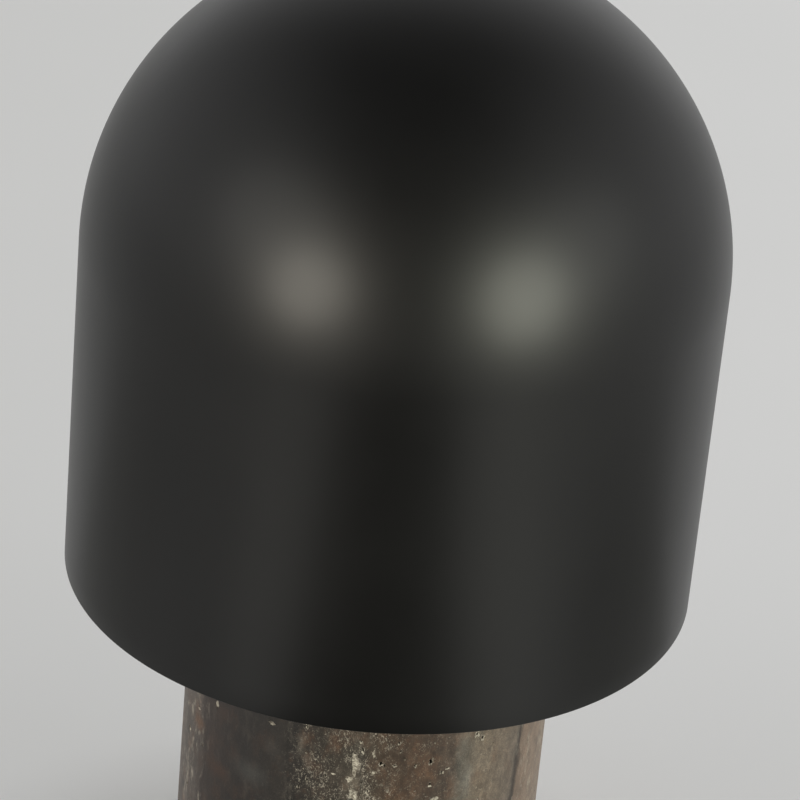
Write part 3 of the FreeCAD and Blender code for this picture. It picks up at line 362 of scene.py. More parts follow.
# the marks on the front that stand out: place across, height, width, rise and depth, in millimetres
FRONT_PITS = (
    (-1.6, 87.5, 3.2, 8.4, 0.42),
    (-3.4, 80.0, 2.6, 3.4, 0.42),
    (-1.3, 73.0, 4.6, 5.2, 0.45),
    (5.4, 93.0, 1.3, 4.4, 0.42),
    (8.4, 88.4, 2.0, 2.6, 2.4),
    (6.2, 84.0, 2.4, 1.5, 0.42),
    (15.0, 98.0, 1.2, 2.6, 1.4),
    (16.0, 94.0, 1.0, 1.6, 1.6),
    (14.0, 87.4, 2.3, 1.5, 1.5),
    (-9.8, 81.4, 2.4, 1.2, 0.5),
    (-13.0, 80.0, 1.3, 1.8, 1.2),
    (-23.5, 72.0, 1.7, 1.9, 1.9),
    (33.0, 82.2, 1.8, 2.1, 1.6),
    (31.6, 70.0, 4.4, 2.0, 0.45),
    (48.2, 94.0, 1.9, 3.0, 1.6),
    (-35.8, 97.0, 3.0, 1.6, 0.42),
    (-59.0, 91.0, 2.4, 3.6, 0.42),
)


def porosity(across):
    """How porous the bed at this place is, from 0 to 1."""
    share = across / STONE_RADIUS
    return [porous for edge, porous, colour in BEDS if edge <= share or edge == -1][-1]


def ragged_pit(bm, centre, outward, across, along, wide, tall, depth, dish, draw):
    """A closed cutter: a shallow ragged dish with a deeper hole in it, sunk into the surface."""
    corners = 18
    phase = draw.uniform(0, 50)
    # each ring's height over the surface, and its share of the pit's width
    levels = (
        (0.7 * MM, 1.1),
        (0.0, 1.0),
        (-0.2 * MM, 0.88),
        (-0.34 * MM, dish),
        (-0.55 * depth - 0.1 * MM, dish * 0.9),
        (-0.9 * depth, dish * 0.55),
    )
    rings = []
    for level, (rise, share) in enumerate(levels):
        ring = []
        for corner in range(corners):
            angle = 2 * math.pi * corner / corners
            turn = Vector((math.cos(angle), math.sin(angle), 0))
            broad = noise.noise(turn * 1.5 + Vector((0, 0, phase + 0.3 * level)))
            fine = noise.noise(turn * 4.5 + Vector((0, 0, phase + 9 + 0.6 * level)))
            reach = share * (1 + 0.85 * broad + 0.45 * fine)
            spot = centre + outward * rise
            spot += across * (wide / 2 * reach * turn.x)
            spot += along * (tall / 2 * reach * turn.y)
            ring.append(bm.verts.new(spot))
        rings.append(ring)
    for upper, lower in zip(rings, rings[1:]):
        for corner in range(corners):
            after = (corner + 1) % corners
            bm.faces.new((upper[corner], upper[after], lower[after], lower[corner]))
    bm.faces.new(rings[0][::-1])
    bottom = bm.verts.new(centre - outward * depth)
    for corner in range(corners):
        bm.faces.new((rings[-1][corner], rings[-1][(corner + 1) % corners], bottom))


def wall_place(across, height, front):
    """A spot on the drum's wall with its outward, sideways and upward directions."""
    share = max(-0.999, min(0.999, across / STONE_RADIUS))
    depth = math.sqrt(1 - share * share)
    outward = Vector((share, -depth if front else depth, 0))
    sideways = Vector((outward.y, -outward.x, 0))
    return outward * STONE_RADIUS + Vector((0, 0, height)), outward, sideways, Vector((0, 0, 1))


def top_place(across, back):
    return Vector((across, back, STONE_TOP)), Vector((0, 0, 1)), Vector((1, 0, 0)), Vector((0, 1, 0))


def crowded(place, room, plan):
    """Whether a pit with this half size would run into one that is already planned."""
    for other, wide, tall, *_ in plan:
        gap = (place[0] - other[0]).length
        if gap < 0.75 * (room + max(wide, tall) / 2):
            return True
    return False


def by_inlet(place):
    """Whether the place is too near the cord inlet at the back."""
    spot = place[0]
    return spot.y > 0 and math.hypot(spot.x, spot.z - INLET_HEIGHT) < INLET_SEAT + 3 * MM


def pit_plan(draw):
    """Where the pits go: (place, width, rise, depth, share of the dish that is deep)."""
    plan = []
    for across, height, wide, tall, depth in FRONT_PITS:
        place = wall_place(across * MM, height * MM, True)
        plan.append((place, wide * MM, tall * MM, depth * MM, 0.35 if depth < 1 else 0.6))
    low = STONE_FOOT + 4 * MM
    high = STONE_TOP - 4 * MM
    tries = 0
    while len(plan) < PORE_COUNT + CRUST_COUNT and tries < MOST_TRIES:
        tries += 1
        crust = len(plan) < CRUST_COUNT
        if draw.random() < SHARE_ON_LINES:
            across = draw.gauss(draw.choice(PORE_LINES) * STONE_RADIUS, 0.9 * MM)
        else:
            across = draw.uniform(-0.98, 0.98) * STONE_RADIUS
        if abs(across) > 0.985 * STONE_RADIUS or draw.random() > porosity(across):
            continue
        size = min(draw.lognormvariate(0.05, 0.45) * MM, LARGEST_PORE)
        tall = size * draw.uniform(0.9, 2.2)
        if draw.random() < SHARE_ON_TOP:
            back = draw.uniform(-1, 1) * STONE_RADIUS
            reach = math.hypot(across, back)
            if reach > STONE_RADIUS - 5 * MM or reach < PIPE_HOLE + 20 * MM:
                continue
            place = top_place(across, back)
        else:
            place = wall_place(across, draw.uniform(low, high), draw.random() < 0.5)
        # a bed is thin along X, so a pit is broad where the wall runs along Y
        wide = size * (1 + 0.8 * abs(place[1].x))
        depth = size * draw.uniform(0.8, 1.5)
        dish = draw.uniform(0.4, 0.75)
        if crust:
            wide *= 1.8
            tall *= 2.6
            depth = 0.45 * MM
            dish = 0.35
        if crowded(place, max(wide, tall) / 2, plan) or by_inlet(place):
            continue
        plan.append((place, wide, tall, depth, dish))
    return plan


def drill(bm, radius, start, direction, length):
    """Adds a closed cylinder that runs from its start in this direction."""
    direction = Vector(direction)
    turn = direction.to_track_quat("Z", "Y").to_matrix().to_4x4()
    place = Matrix.Translation(Vector(start) + direction * length / 2) @ turn
    bmesh.ops.create_cone(
        bm, cap_ends=True, segments=48, radius1=radius, radius2=radius, depth=length, matrix=place)


def stone_holes():
    """Cutters for the cord inlet, through the wall at the back, and the three screw anchors."""
    bm = bmesh.new()
    inner = RECESS_RADIUS - CUT_OVERLAP
    drill(bm, INLET_HOLE, (0, inner, INLET_HEIGHT), (0, 1, 0), STONE_RADIUS - inner + CUT_OVERLAP)
    below = 1 * MM
    for third in range(3):
        angle = math.radians(120 * third - 90)
        spot = (ANCHOR_RING * math.cos(angle), ANCHOR_RING * math.sin(angle), plate_high.z - below)
        drill(bm, ANCHOR_HOLE, spot, (0, 0, 1), ANCHOR_HOLE_DEPTH + below)
    return finished(bm, "holes")


def inlet_seat():
    """The cutter for the flat seat of the inlet bushing's flange."""
    bm = bmesh.new()
    place = (0, STONE_RADIUS - INLET_SEAT_DEPTH, INLET_HEIGHT)
    drill(bm, INLET_SEAT, place, (0, 1, 0), INLET_SEAT_DEPTH + CUT_OVERLAP)
    return finished(bm, "seat")


def make_stone():
    """The drum, turned hollow, drilled, and then pitted all over."""
    rebate = plate_high.x + PLATE_GAP
    section = rounded([
        (PIPE_HOLE, STONE_TOP, 0.4 * MM),
        (PIPE_HOLE, RECESS_TOP, 0),
        (RECESS_RADIUS, RECESS_TOP, 2 * MM),
        (RECESS_RADIUS, plate_high.z, 0.4 * MM),
        (rebate, plate_high.z, 0),
        (rebate, STONE_FOOT, 0.3 * MM),
        (STONE_RADIUS, STONE_FOOT, STONE_ROUND),
        (STONE_RADIUS, STONE_TOP, STONE_ROUND),
    ])
    bm = bmesh.new()
    lathe(bm, divided(section, longest=5.5 * MM), segments=240)
    stone = finished(bm, "stone_drum")
    cut_away(stone, stone_holes())
    cut_away(stone, inlet_seat())
    draw = random.Random(11)
    pits = bmesh.new()
    for place, wide, tall, depth, dish in pit_plan(draw):
        ragged_pit(pits, *place, wide, tall, depth, dish, draw)
    cut_away(stone, finished(pits, "pits"))
    shade_smooth(stone, sharp_angle=32)
    stone.data.materials.clear()
    stone.data.materials.append(travertine())
    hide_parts("stone_base")
    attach(stone, "base")


def under_surface(look):
    """How deep a point lies under the drum's turned surface and its arrises, in millimetres."""
    arris = STONE_ROUND / MM
    middle = (STONE_TOP + STONE_FOOT) / 2 / MM
    half = (STONE_TOP - STONE_FOOT) / 2 / MM
    rise = look.math("ABSOLUTE", look.math("SUBTRACT", look.axes()[2], middle))
    beyond_wall = look.math("SUBTRACT", look.from_axis(), STONE_RADIUS / MM - arris)
    beyond_end = look.math("SUBTRACT", rise, half - arris)
    corner = look.node("ShaderNodeCombineXYZ", {
        0: look.math("MAXIMUM", beyond_wall, 0.0),
        1: look.math("MAXIMUM", beyond_end, 0.0),
    }).outputs[0]
    outside = look.node("ShaderNodeVectorMath", {0: corner}, operation="LENGTH").outputs["Value"]
    inside = look.math("MINIMUM", look.math("MAXIMUM", beyond_wall, beyond_end), 0.0)
    return look.math("SUBTRACT", arris, look.math("ADD", outside, inside))


def bent_place(look):
    """The place moved by slow waves and small shivers, so that no bed runs straight."""
    sway = look.noise(0.022, 2, (1, 1, 0.6), colour=True)
    place = look.moved(look.place, sway, (9, 9, 0))
    shiver = look.noise(0.3, 5, (1, 1, 0.6), colour=True)
    return look.moved(place, shiver, (3, 3, 0))


def bed_colour(look, place, across, lively):
    """The beds with their streaks, rusty and chalky clouds, and the stains on the front."""
    body = look.ramp(across, [((edge + 1) / 2, colour) for edge, porous, colour in BEDS])
    streaks = look.noise(0.5, 6, (1, 0.14, 0.14), place, rough=0.65)
    streaked = look.ramp(streaks, [(0.32, 0.8), (0.5, 1.0), (0.68, 1.25)])
    body = look.mix(lively, body, streaked, "MULTIPLY")
    rust = look.spread(look.noise(0.11, 6, (1, 1, 0.7), rough=0.65), 0.5, 0.72, 0, 0.42)
    body = look.mix(look.math("MULTIPLY", rust, lively), body, RUST)
    chalk = look.spread(look.noise(0.16, 7, (1, 1, 0.45), rough=0.7), 0.54, 0.74, 0, 0.3)
    body = look.mix(look.math("MULTIPLY", chalk, lively), body, CHALK)
    for middle, height, reach_across, reach_up, strength, colour in CLOUDS:
        share = look.near(place, middle, height, reach_across, reach_up, strength)
        body = look.mix(share, body, colour)
    return body


def calcite_share(look, place, density):
    """How much white calcite shows: grit and worm-shaped veins, thickest in the porous beds."""
    crowd = look.spread(look.noise(0.13, 4, (1, 0.5, 0.4), place), 0.34, 0.6, 0.42, 1.0)
    crowd = look.math("MULTIPLY", crowd, density)
    grit = look.noise(1.5, 5, (1, 0.75, 0.55), place, rough=0.75)
    limit = look.math("MULTIPLY_ADD", crowd, -0.2, 0.732)
    flecks = look.spread(look.math("SUBTRACT", grit, limit), 0.0, 0.05)
    calcite = look.math("MULTIPLY", flecks, 0.6)
    for per_mm, width, strength in ((0.34, 0.010, 0.7), (0.8, 0.022, 0.62)):
        curl = look.noise(per_mm, 3, (1, 0.8, 0.6), place)
        curl = look.math("ABSOLUTE", look.math("SUBTRACT", curl, 0.5))
        worms = look.spread(curl, 0.3 * width, width, strength, 0)
        broken = look.spread(look.noise(per_mm * 0.9, 4, rough=0.65), 0.52, 0.6)
        worms = look.math("MULTIPLY", look.math("MULTIPLY", worms, broken), crowd)
        calcite = look.math("MAXIMUM", calcite, worms)
    # pale hairlines run up the outermost beds
    reach = STONE_RADIUS / MM
    outward = look.math("ABSOLUTE", look.spread(look.axes(place)[0], -reach, reach, -1, 1))
    outer = look.spread(outward, 0.82, 0.88)
    hairs = look.noise(0.8, 5, (1, 0.12, 0.12), place, rough=0.7)
    hairs = look.math("MULTIPLY", look.spread(hairs, 0.54, 0.66, 0, 0.5), outer)
    return look.math("MAXIMUM", calcite, hairs)


def pitted_colour(look, body, grained):
    """The body's colour with its pits: pale worn crust near the lip, and painted shade further in."""
    depth = under_surface(look)
    cut = look.spread(depth, 0.04, 0.08)
    uneven = look.spread(look.noise(1.1, 4, rough=0.7), 0.3, 0.7, -0.2, 0.2)
    share = look.math("DIVIDE", look.math("ADD", depth, uneven), DEEPEST)
    crust = look.ramp(share, [
        (0.0, 0.35), (0.014, 0.6), (0.03, 1), (0.06, 1), (0.1, 0.15), (0.2, 0),
    ])
    crust = look.math("MULTIPLY", crust, cut)
    # painted shade: the pits grow dark with depth, where little light reaches
    hollow = look.ramp(share, [
        (0.0, 0), (0.055, 0), (0.1, 1), (0.7, 1), (0.9, 0),
    ])
    body = look.mix(look.math("MULTIPLY", hollow, 0.9), body, PORE_PAINTED_SHADE)
    dirt = look.noise(0.9, 5, rough=0.7)
    dirty = look.ramp(dirt, [(0.38, CRUST_DIRTY), (0.56, CRUST_CLEAN)])
    chalky = look.mix(1.0, dirty, grained, "MULTIPLY")
    worn = look.spread(look.noise(0.7, 5, rough=0.7), 0.4, 0.56, 0.35, 0.92)
    return look.mix(look.math("MULTIPLY", crust, worn), body, chalky)


def travertine():
    """Upright beds, the compact ones plain and the porous ones mottled, veined and pitted."""
    look = Look("travertine", IOR=1.45)
    place = bent_place(look)
    across = look.spread(look.axes(place)[0], -STONE_RADIUS / MM, STONE_RADIUS / MM)
    density = look.ramp(across, [((edge + 1) / 2, porous) for edge, porous, colour in BEDS])
    lively = look.spread(density, 0.05, 0.55, 0.35, 1.0)
    body = bed_colour(look, place, across, lively)
    mottle = look.noise(0.3, 10, (1, 0.8, 0.6), place, rough=0.78)
    mottled = look.ramp(mottle, [(0.34, 0.55), (0.5, 1.0), (0.66, 1.55)])
    body = look.mix(lively, body, mottled, "MULTIPLY")
    calcite = calcite_share(look, place, density)
    body = look.mix(calcite, body, CREAM)
    grain = look.noise(2.6, 4, (1, 0.8, 0.7), rough=0.8)
    grained = look.ramp(grain, [(0.32, 0.66), (0.5, 1.0), (0.68, 1.34)])
    body = look.mix(1.0, body, grained, "MULTIPLY")
    body = pitted_colour(look, body, grained)
    rough = look.spread(mottle, 0.3, 0.7, 0.5, 0.66)
    rough = look.math("ADD", rough, look.math("MULTIPLY", calcite, 0.15))
    pitted = look.bump(grain, 0.06, 0.5)
    veined = look.bump(mottle, 0.15, 0.5, pitted)
    flecked = look.bump(calcite, -0.1, 0.5, veined)
    return look.set(Base_Color=body, Roughness=rough, Normal=flecked)


# --- the shade --------------------------------------------------------------------------------

def dome_section(inset):
    """The dome from its spring line to its pole: a shoulder arc that meets a crown arc."""
    steps = 44
    spring = RIM + WALL_RISE
    crown_height = SHADE_TOP - CROWN_RADIUS
    # the two arcs touch where the line through both centres meets them
    shoulder_x = (spring - crown_height) / math.tan(SHOULDER_END)
    shoulder_radius = SHADE_RADIUS - shoulder_x
    points = []
    for step in range(steps):
        angle = SHOULDER_END * step / steps
        reach = shoulder_radius - inset
        points.append((shoulder_x + reach * math.cos(angle), spring + reach * math.sin(angle)))
    for step in range(steps + 1):
        angle = SHOULDER_END + (math.pi / 2 - SHOULDER_END) * step / steps
        reach = CROWN_RADIUS - inset
        points.append((max(0, reach * math.cos(angle)), crown_height + reach * math.sin(angle)))
    return points


def make_shade():
    """Spun metal, with the coat outside and on the rim, and white enamel inside."""
    spring = RIM + WALL_RISE
    inner = SHADE_RADIUS - SHADE_GAUGE
    edge = rounded([
        (inner, spring, 0),
        (inner, RIM, 0.45 * SHADE_GAUGE),
        (SHADE_RADIUS, RIM, 0.45 * SHADE_GAUGE),
        (SHADE_RADIUS, spring, 0),
    ], steps=6)
    rows = 16
    wall = [edge[0].lerp(edge[1], row / rows) for row in range(rows)]
    outer_wall = [edge[-2].lerp(edge[-1], row / rows) for row in range(1, rows)]
    section = dome_section(SHADE_GAUGE)[::-1] + wall[1:] + edge[1:-1] + outer_wall + dome_section(0)
    bm = bmesh.new()
    lathe(bm, section, segments=320, closed=False)
    shade = finished(bm, "shade_spun", sharp_angle=50)
    shade.data.materials.append(black_coat())
    shade.data.materials.append(finish("white_enamel"))
    inside = SHADE_RADIUS - 0.6 * SHADE_GAUGE
    for face in shade.data.polygons:
        across = math.hypot(face.center.x, face.center.y)
        outward = Vector((face.center.x, face.center.y, max(0, face.center.z - spring)))
        lit_inside = face.normal.dot(outward) < 0 and across < inside
        face.material_index = 1 if lit_inside and face.center.z > RIM + SHADE_GAUGE else 0
    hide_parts("shade_shell")
    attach(shade, "shade")


def black_coat():
    """Satin powder coat: a very fine, even texture over spun metal."""
    look = Look("black_coat", IOR=1.37, Coat_Weight=0.2, Coat_Roughness=0.28, Coat_IOR=1.36)
    fine = look.noise(2.2, 2)
    broad = look.noise(0.02, 3)
    even = look.spread(broad, 0.3, 0.7, 0.41, 0.435)
    rough = look.math("ADD", even, look.spread(fine, 0.3, 0.7, -0.01, 0.01))
    colour = look.ramp(broad, [(0.3, tone(3, 3, 3)), (0.7, tone(5, 5, 5))])
    peel = look.bump(fine, 0.004, 0.5)
    return look.set(Base_Color=colour, Roughness=rough, Normal=peel)


def white_enamel(name):
    """Sprayed enamel, faintly uneven in tone and gloss."""
    look = Look(name, IOR=1.48)
    broad = look.noise(0.03, 3)
    fine = look.noise(1.4, 2)
    colour = look.ramp(broad, [(0.3, tone(228, 226, 219)), (0.7, tone(238, 236, 230))])
    rough = look.spread(fine, 0.3, 0.7, 0.4, 0.5)
    return look.set(Base_Color=colour, Roughness=rough, Normal=look.bump(fine, 0.01, 0.5))


# --- the fittings' finishes -------------------------------------------------------------------

def brushed(name, dark, light, rough, turned=True):
    """Metal with fine turning rings about the lamp's axis, or fine grain along it."""
    look = Look(name, Metallic=1.0)
    if turned:
        turning = {0: look.from_axis(), 1: look.axes()[2]}
        marks = look.noise(5, 3, place=look.node("ShaderNodeCombineXYZ", turning).outputs[0])
    else:
        marks = look.noise(4, 3, (1, 1, 0.06))
    smudge = look.noise(0.25, 4)
    share = look.math("ADD", look.math("MULTIPLY", marks, 0.6), look.math("MULTIPLY", smudge, 0.4))
    colour = look.ramp(share, [(0.3, dark), (0.7, light)])
    worn = look.spread(smudge, 0.35, 0.65, -0.04, 0.06)
    roughness = look.math("ADD", look.spread(marks, 0.3, 0.7, rough - 0.05, rough + 0.05), worn)
    return look.set(Base_Color=colour, Roughness=roughness, Normal=look.bump(marks, 0.0012, 0.5))


def moulded(name, dark, light, rough, grain=1.6, depth=0.015):
    """Moulded plastic, rubber or card: faint mottling and a fine grain."""
    look = Look(name, IOR=1.49)
    mottle = look.noise(0.4, 3)
    fine = look.noise(grain, 3, rough=0.6)
    colour = look.ramp(mottle, [(0.3, dark), (0.7, light)])
    roughness = look.spread(fine, 0.3, 0.7, rough - 0.05, rough + 0.07)
    return look.set(Base_Color=colour, Roughness=roughness, Normal=look.bump(fine, depth, 0.6))


def glassy(name, colour, rough, passing):
    """Glass that lets this share of the light pass, slightly hazy."""
    look = Look(name, IOR=1.5)
    look.shader.inputs["Transmission Weight"].default_value = passing
    haze = look.noise(0.6, 3)
    tinted = look.ramp(haze, [(0.3, colour), (0.7, [min(1, c * 1.03) for c in colour])])
    roughness = look.spread(haze, 0.3, 0.7, max(0.01, rough - 0.05), rough + 0.05)
    wavy = look.bump(look.noise(3, 2), 0.004, 0.4)
    return look.set(Base_Color=tinted, Roughness=roughness, Normal=wavy)


# for each material slot: what makes its finish, and the values that this takes after the name
FINISHES = {
    "zinc_plate": (brushed, tone(150, 150, 144), tone(176, 176, 168), 0.42),
    "steel_fixings": (brushed, tone(128, 128, 128), tone(160, 160, 160), 0.36),
    "satin_nickel": (brushed, tone(146, 142, 134), tone(168, 164, 155), 0.36),
    "harp_wire": (brushed, tone(140, 137, 130), tone(160, 157, 150), 0.34, False),
    "brass_fittings": (brushed, tone(158, 122, 66), tone(182, 146, 86), 0.34),
    "contact_brass": (brushed, tone(168, 132, 72), tone(190, 156, 94), 0.3),
    "bulb_aluminium": (brushed, tone(150, 150, 152), tone(174, 174, 176), 0.32),
    "black_nylon": (moulded, tone(24, 24, 24), tone(32, 32, 32), 0.55),
    "white_plastic": (moulded, tone(226, 224, 216), tone(236, 234, 228), 0.4),
    "black_insulation": (moulded, tone(26, 26, 27), tone(34, 34, 35), 0.5),
    "white_insulation": (moulded, tone(220, 218, 210), tone(232, 230, 224), 0.5),
    "phenolic": (moulded, tone(50, 38, 32), tone(66, 50, 42), 0.35, 0.8),
    "liner_card": (moulded, tone(152, 126, 94), tone(176, 148, 112), 0.85, 1.1, 0.05),
    "knob_plastic": (moulded, tone(22, 22, 23), tone(30, 30, 31), 0.22, 0.7, 0.006),
    "bulb_insulator_glaze": (moulded, tone(26, 26, 32), tone(36, 36, 44), 0.12, 0.9),
    "frosted_glass": (glassy, (0.62, 0.62, 0.60, 1), 0.5, 0.3),
    "clear_glass": (glassy, (0.92, 0.94, 0.94, 1), 0.06, 0.9),
    "white_enamel": (white_enamel,),
}

# the finishes made so far, by slot
made = {}


def finish(slot):
    """The slot's material, made when it is first asked for."""
    if slot not in made:
        make, *details = FINISHES[slot]
        made[slot] = make(slot, *details)
    return made[slot]


def finish_cad_nodes():
    """Gives each CAD node that still shows its finish, by the record's material slot."""
    for part in frame["record"]["subparts"]:
        node = NODES[part["node"]]
        if not node.hide_render and part["material_slot"] in FINISHES:
            node.data.materials.clear()
            node.data.materials.append(finish(part["material_slot"]))


# --- pieces with threads and roundings that the CAD model leaves out ---------------------------

def roll_thread(bm, walls, low, high):
    """Rolls a rounded thread into walls of these radii. It runs out at both ends."""
    for vert in bm.verts:
        across = math.hypot(vert.co.x, vert.co.y)
        on_wall = any(abs(across - wall) < 0.01 * MM for wall in walls)
        if not on_wall or not low < vert.co.z < high:
            continue
        turn = math.atan2(vert.co.y, vert.co.x) / (2 * math.pi)
        wave = 0.5 - 0.5 * math.cos(2 * math.pi * (vert.co.z / THREAD_PITCH - turn))
        run_out = min(1, (vert.co.z - low) / THREAD_PITCH, (high - vert.co.z) / THREAD_PITCH)
        vert.co.xy *= 1 - THREAD_DEPTH * wave * run_out / across


def make_bulb_cap():
    """The bulb's rolled aluminium cap, with a plain collar above its thread."""
    outer = cap_high.x
    inner = outer - CAP_GAUGE
    floor = cap_low.z
    section = rounded([
        (outer - 1.8 * MM, floor, 0),
        (outer, floor + 1.5 * MM, 0.8 * MM),
        (outer, cap_high.z, 0.2 * MM),
        (inner, cap_high.z, 0.2 * MM),
        (inner, floor + 1.9 * MM, 0.5 * MM),
        (outer - 2 * MM, floor + CAP_GAUGE, 0),
    ])
    bm = bmesh.new()
    wall = divided(section, longest=0.3 * MM)
    points = [Vector((0, floor))] + wall + [Vector((0, floor + CAP_GAUGE))]
    lathe(bm, points, segments=96, closed=False)
    roll_thread(bm, (outer, inner), floor + 1.9 * MM, cap_high.z - 5.5 * MM)
    cap = finished(bm, "bulb_cap_rolled")
    cap.data.materials.append(finish("bulb_aluminium"))
    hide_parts("bulb_cap")
    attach(cap, "bulb")


def make_screw_shell():
    """The lampholder's brass screw shell, whose thread takes the bulb's cap."""
    outer = screw_high.x
    bore = outer - SCREW_GAUGE
    floor = screw_low.z
    section = rounded([
        (bore / 2, floor, 0),
        (outer, floor, 0.4 * MM),
        (outer, screw_high.z, 0.15 * MM),
        (bore, screw_high.z, 0.15 * MM),
        (bore, floor + SCREW_GAUGE, 0.3 * MM),
        (bore / 2, floor + SCREW_GAUGE, 0),
    ])
    bm = bmesh.new()
    lathe(bm, divided(section, longest=0.3 * MM), segments=96)
    roll_thread(bm, (outer, bore), floor + 5 * MM, screw_high.z - 1 * MM)
    shell = finished(bm, "screw_shell_rolled")
    shell.data.materials.append(finish("contact_brass"))
    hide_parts("screw_shell")
    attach(shell, "base")


def make_bushing():
    """The cord inlet's nylon bushing: a rounded flange and a flared mouth."""
    length = bushing_high.y - bushing_low.y
    flange = bushing_high.x
    face = INLET_SEAT_DEPTH
    section = rounded([
        (INLET_BORE, 0, 1.3 * MM),
        (flange, 0, 0.7 * MM),
        (flange, face, 0.2 * MM),
        (INLET_STEM, face, 0),
        (INLET_STEM, length, 0.5 * MM),
        (INLET_BORE, length, 0.5 * MM),
    ], steps=6)
    bm = bmesh.new()
    lathe(bm, section, segments=72)
    # the flange's face looks back along +Y
    place = Matrix.Translation((0, bushing_high.y, INLET_HEIGHT)) @ Matrix.Rotation(math.pi / 2, 4, "X")
    bmesh.ops.transform(bm, matrix=place, verts=bm.verts)
    bushing = finished(bm, "inlet_bushing")
    bushing.data.materials.append(finish("black_nylon"))
    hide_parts("cord_bushing")
    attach(bushing, "base")


# --- felt under the base ----------------------------------------------------------------------

def quarter_turn(centre, radius, start, steps=4):
    """Points on a quarter circle, anticlockwise from its start angle in degrees."""
    points = []
    for step in range(steps + 1):
        angle = math.radians(start + 90 * step / steps)
        points.append(centre + Vector((math.cos(angle), math.sin(angle))) * radius)
    return points


def make_felt():
    """A die-cut disc of wool felt, its edge slightly fuzzy and its faces uneven."""
    radius = felt_high.x
    rim = 0.45 * MM
    rings = 22
    reaches = [(radius - rim) * step / rings for step in range(rings + 1)]
    points = [Vector((reach, felt_low.z)) for reach in reaches]
    points += quarter_turn(Vector((reaches[-1], felt_low.z + rim)), rim, -90)[1:]
    points += quarter_turn(Vector((reaches[-1], felt_high.z - rim)), rim, 0)
    points += [Vector((reach, felt_high.z)) for reach in reaches[-2::-1]]
    bm = bmesh.new()
    lathe(bm, points, segments=180, closed=False)
    for vert in bm.verts:
        across = math.hypot(vert.co.x, vert.co.y)
        fuzz = noise.noise(vert.co / (0.9 * MM)) * 0.12 * MM
        if across > radius - 2 * rim:
            vert.co.xy *= 1 + (fuzz - 0.1 * MM) / across
        elif vert.co.z < felt_low.z + 0.1 * MM:
            vert.co.z += abs(fuzz) * 0.6
    felt = finished(bm, "felt_disc", sharp_angle=60)
    felt.data.materials.append(wool_felt())
    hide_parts("felt_pad")
    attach(felt, "base")


def wool_felt():
    """Fibres that cross and mat, with a faint sheen."""
    look = Look("wool_felt", IOR=1.4)
    look.shader.inputs["Sheen Weight"].default_value = 0.25
    fibres = look.noise(2.4, 6, (1, 0.25, 1), rough=0.7)
    across = look.noise(2.4, 6, (0.25, 1, 1), rough=0.7)
    tangle = look.math("MAXIMUM", fibres, across)
    colour = look.ramp(tangle, [(0.35, tone(40, 40, 42)), (0.75, tone(70, 70, 73))])
    return look.set(Base_Color=colour, Roughness=0.95, Normal=look.bump(tangle, 0.25, 0.8))


# --- floor, light and camera ------------------------------------------------------------------
# The camera's place is in shade radii from the lamp's axis and from the rim, and its angles are
# in radians.

CAMERA_BACK = 10.265
CAMERA_UP = 5.968
CAMERA_TILT = 0.4821
CAMERA_PAN = 0.0023
CAMERA_ROLL = 0.0915
LENS_MM = 166.55


def make_camera():
    data = bpy.data.cameras.new("camera")
    data.lens = LENS_MM
    data.sensor_width = 36
    camera = bpy.data.objects.new("camera", data)
    bpy.context.scene.collection.objects.link(camera)
    place = Matrix.Translation((0, -CAMERA_BACK * SHADE_RADIUS, RIM + CAMERA_UP * SHADE_RADIUS))
    turn = Matrix.Rotation(-CAMERA_PAN, 4, "Z") @ Matrix.Rotation(math.pi / 2 - CAMERA_TILT, 4, "X")
    camera.matrix_world = place @ turn @ Matrix.Rotation(CAMERA_ROLL, 4, "Z")
    bpy.context.scene.camera = camera


def make_floor():
    """A pale, matt floor, with painted light that makes it a little lighter to the right."""
    bm = bmesh.new()
    bmesh.ops.create_grid(bm, x_segments=40, y_segments=40, size=8)
    floor = finished(bm, "floor")
    look = Look("floor_paint_with_painted_light", Roughness=0.7, Specular_IOR_Level=0.1)
    broad = look.noise(0.002, 3)
    # painted light: the floor's colour grows lighter towards the right
    painted_light_to_right = look.spread(look.axes()[0], -500, 500)
    share = look.math("MULTIPLY_ADD", broad, 0.3, look.math("MULTIPLY", painted_light_to_right, 0.7))
    colour = look.ramp(share, [(0.1, tone(225, 225, 223)), (0.9, tone(247, 247, 246))])
    floor.data.materials.append(look.set(Base_Color=colour))


# The soft lights: the spot that each faces (across, back and height over the rim, in
# millimetres), its azimuth from the front (-Y) towards +X and its elevation in degrees, its
# width and height in metres, its watts and its colour. All stand this far from their spots.
LIGHT_DISTANCE = 1.5
LEFT_SPOT = (-31, -117, 178)
RIGHT_SPOT = (42, -113, 178)
SOFT_LIGHTS = {
    "left_soft": (LEFT_SPOT, -32, 8.9, (0.70, 0.70), 15.3, (1, 0.94, 0.81)),
    "left_haze": (LEFT_SPOT, -52, 26, (1.2, 0.9), 4.0, (1, 0.98, 0.9)),
    "right_soft": (RIGHT_SPOT, 42, 9.2, (0.78, 0.78), 19.6, (0.99, 1, 0.84)),
    "right_haze": (RIGHT_SPOT, 69, 19, (1.2, 0.8), 2.7, (1, 1, 0.93)),
}
SKY_STRENGTH = 1.25
SKY_SPREAD = math.radians(50)
SKY_TURN = (math.radians(-42), math.radians(8), 0)

# the grey that the camera sees behind the floor
SEEN_BACKDROP = 0.56
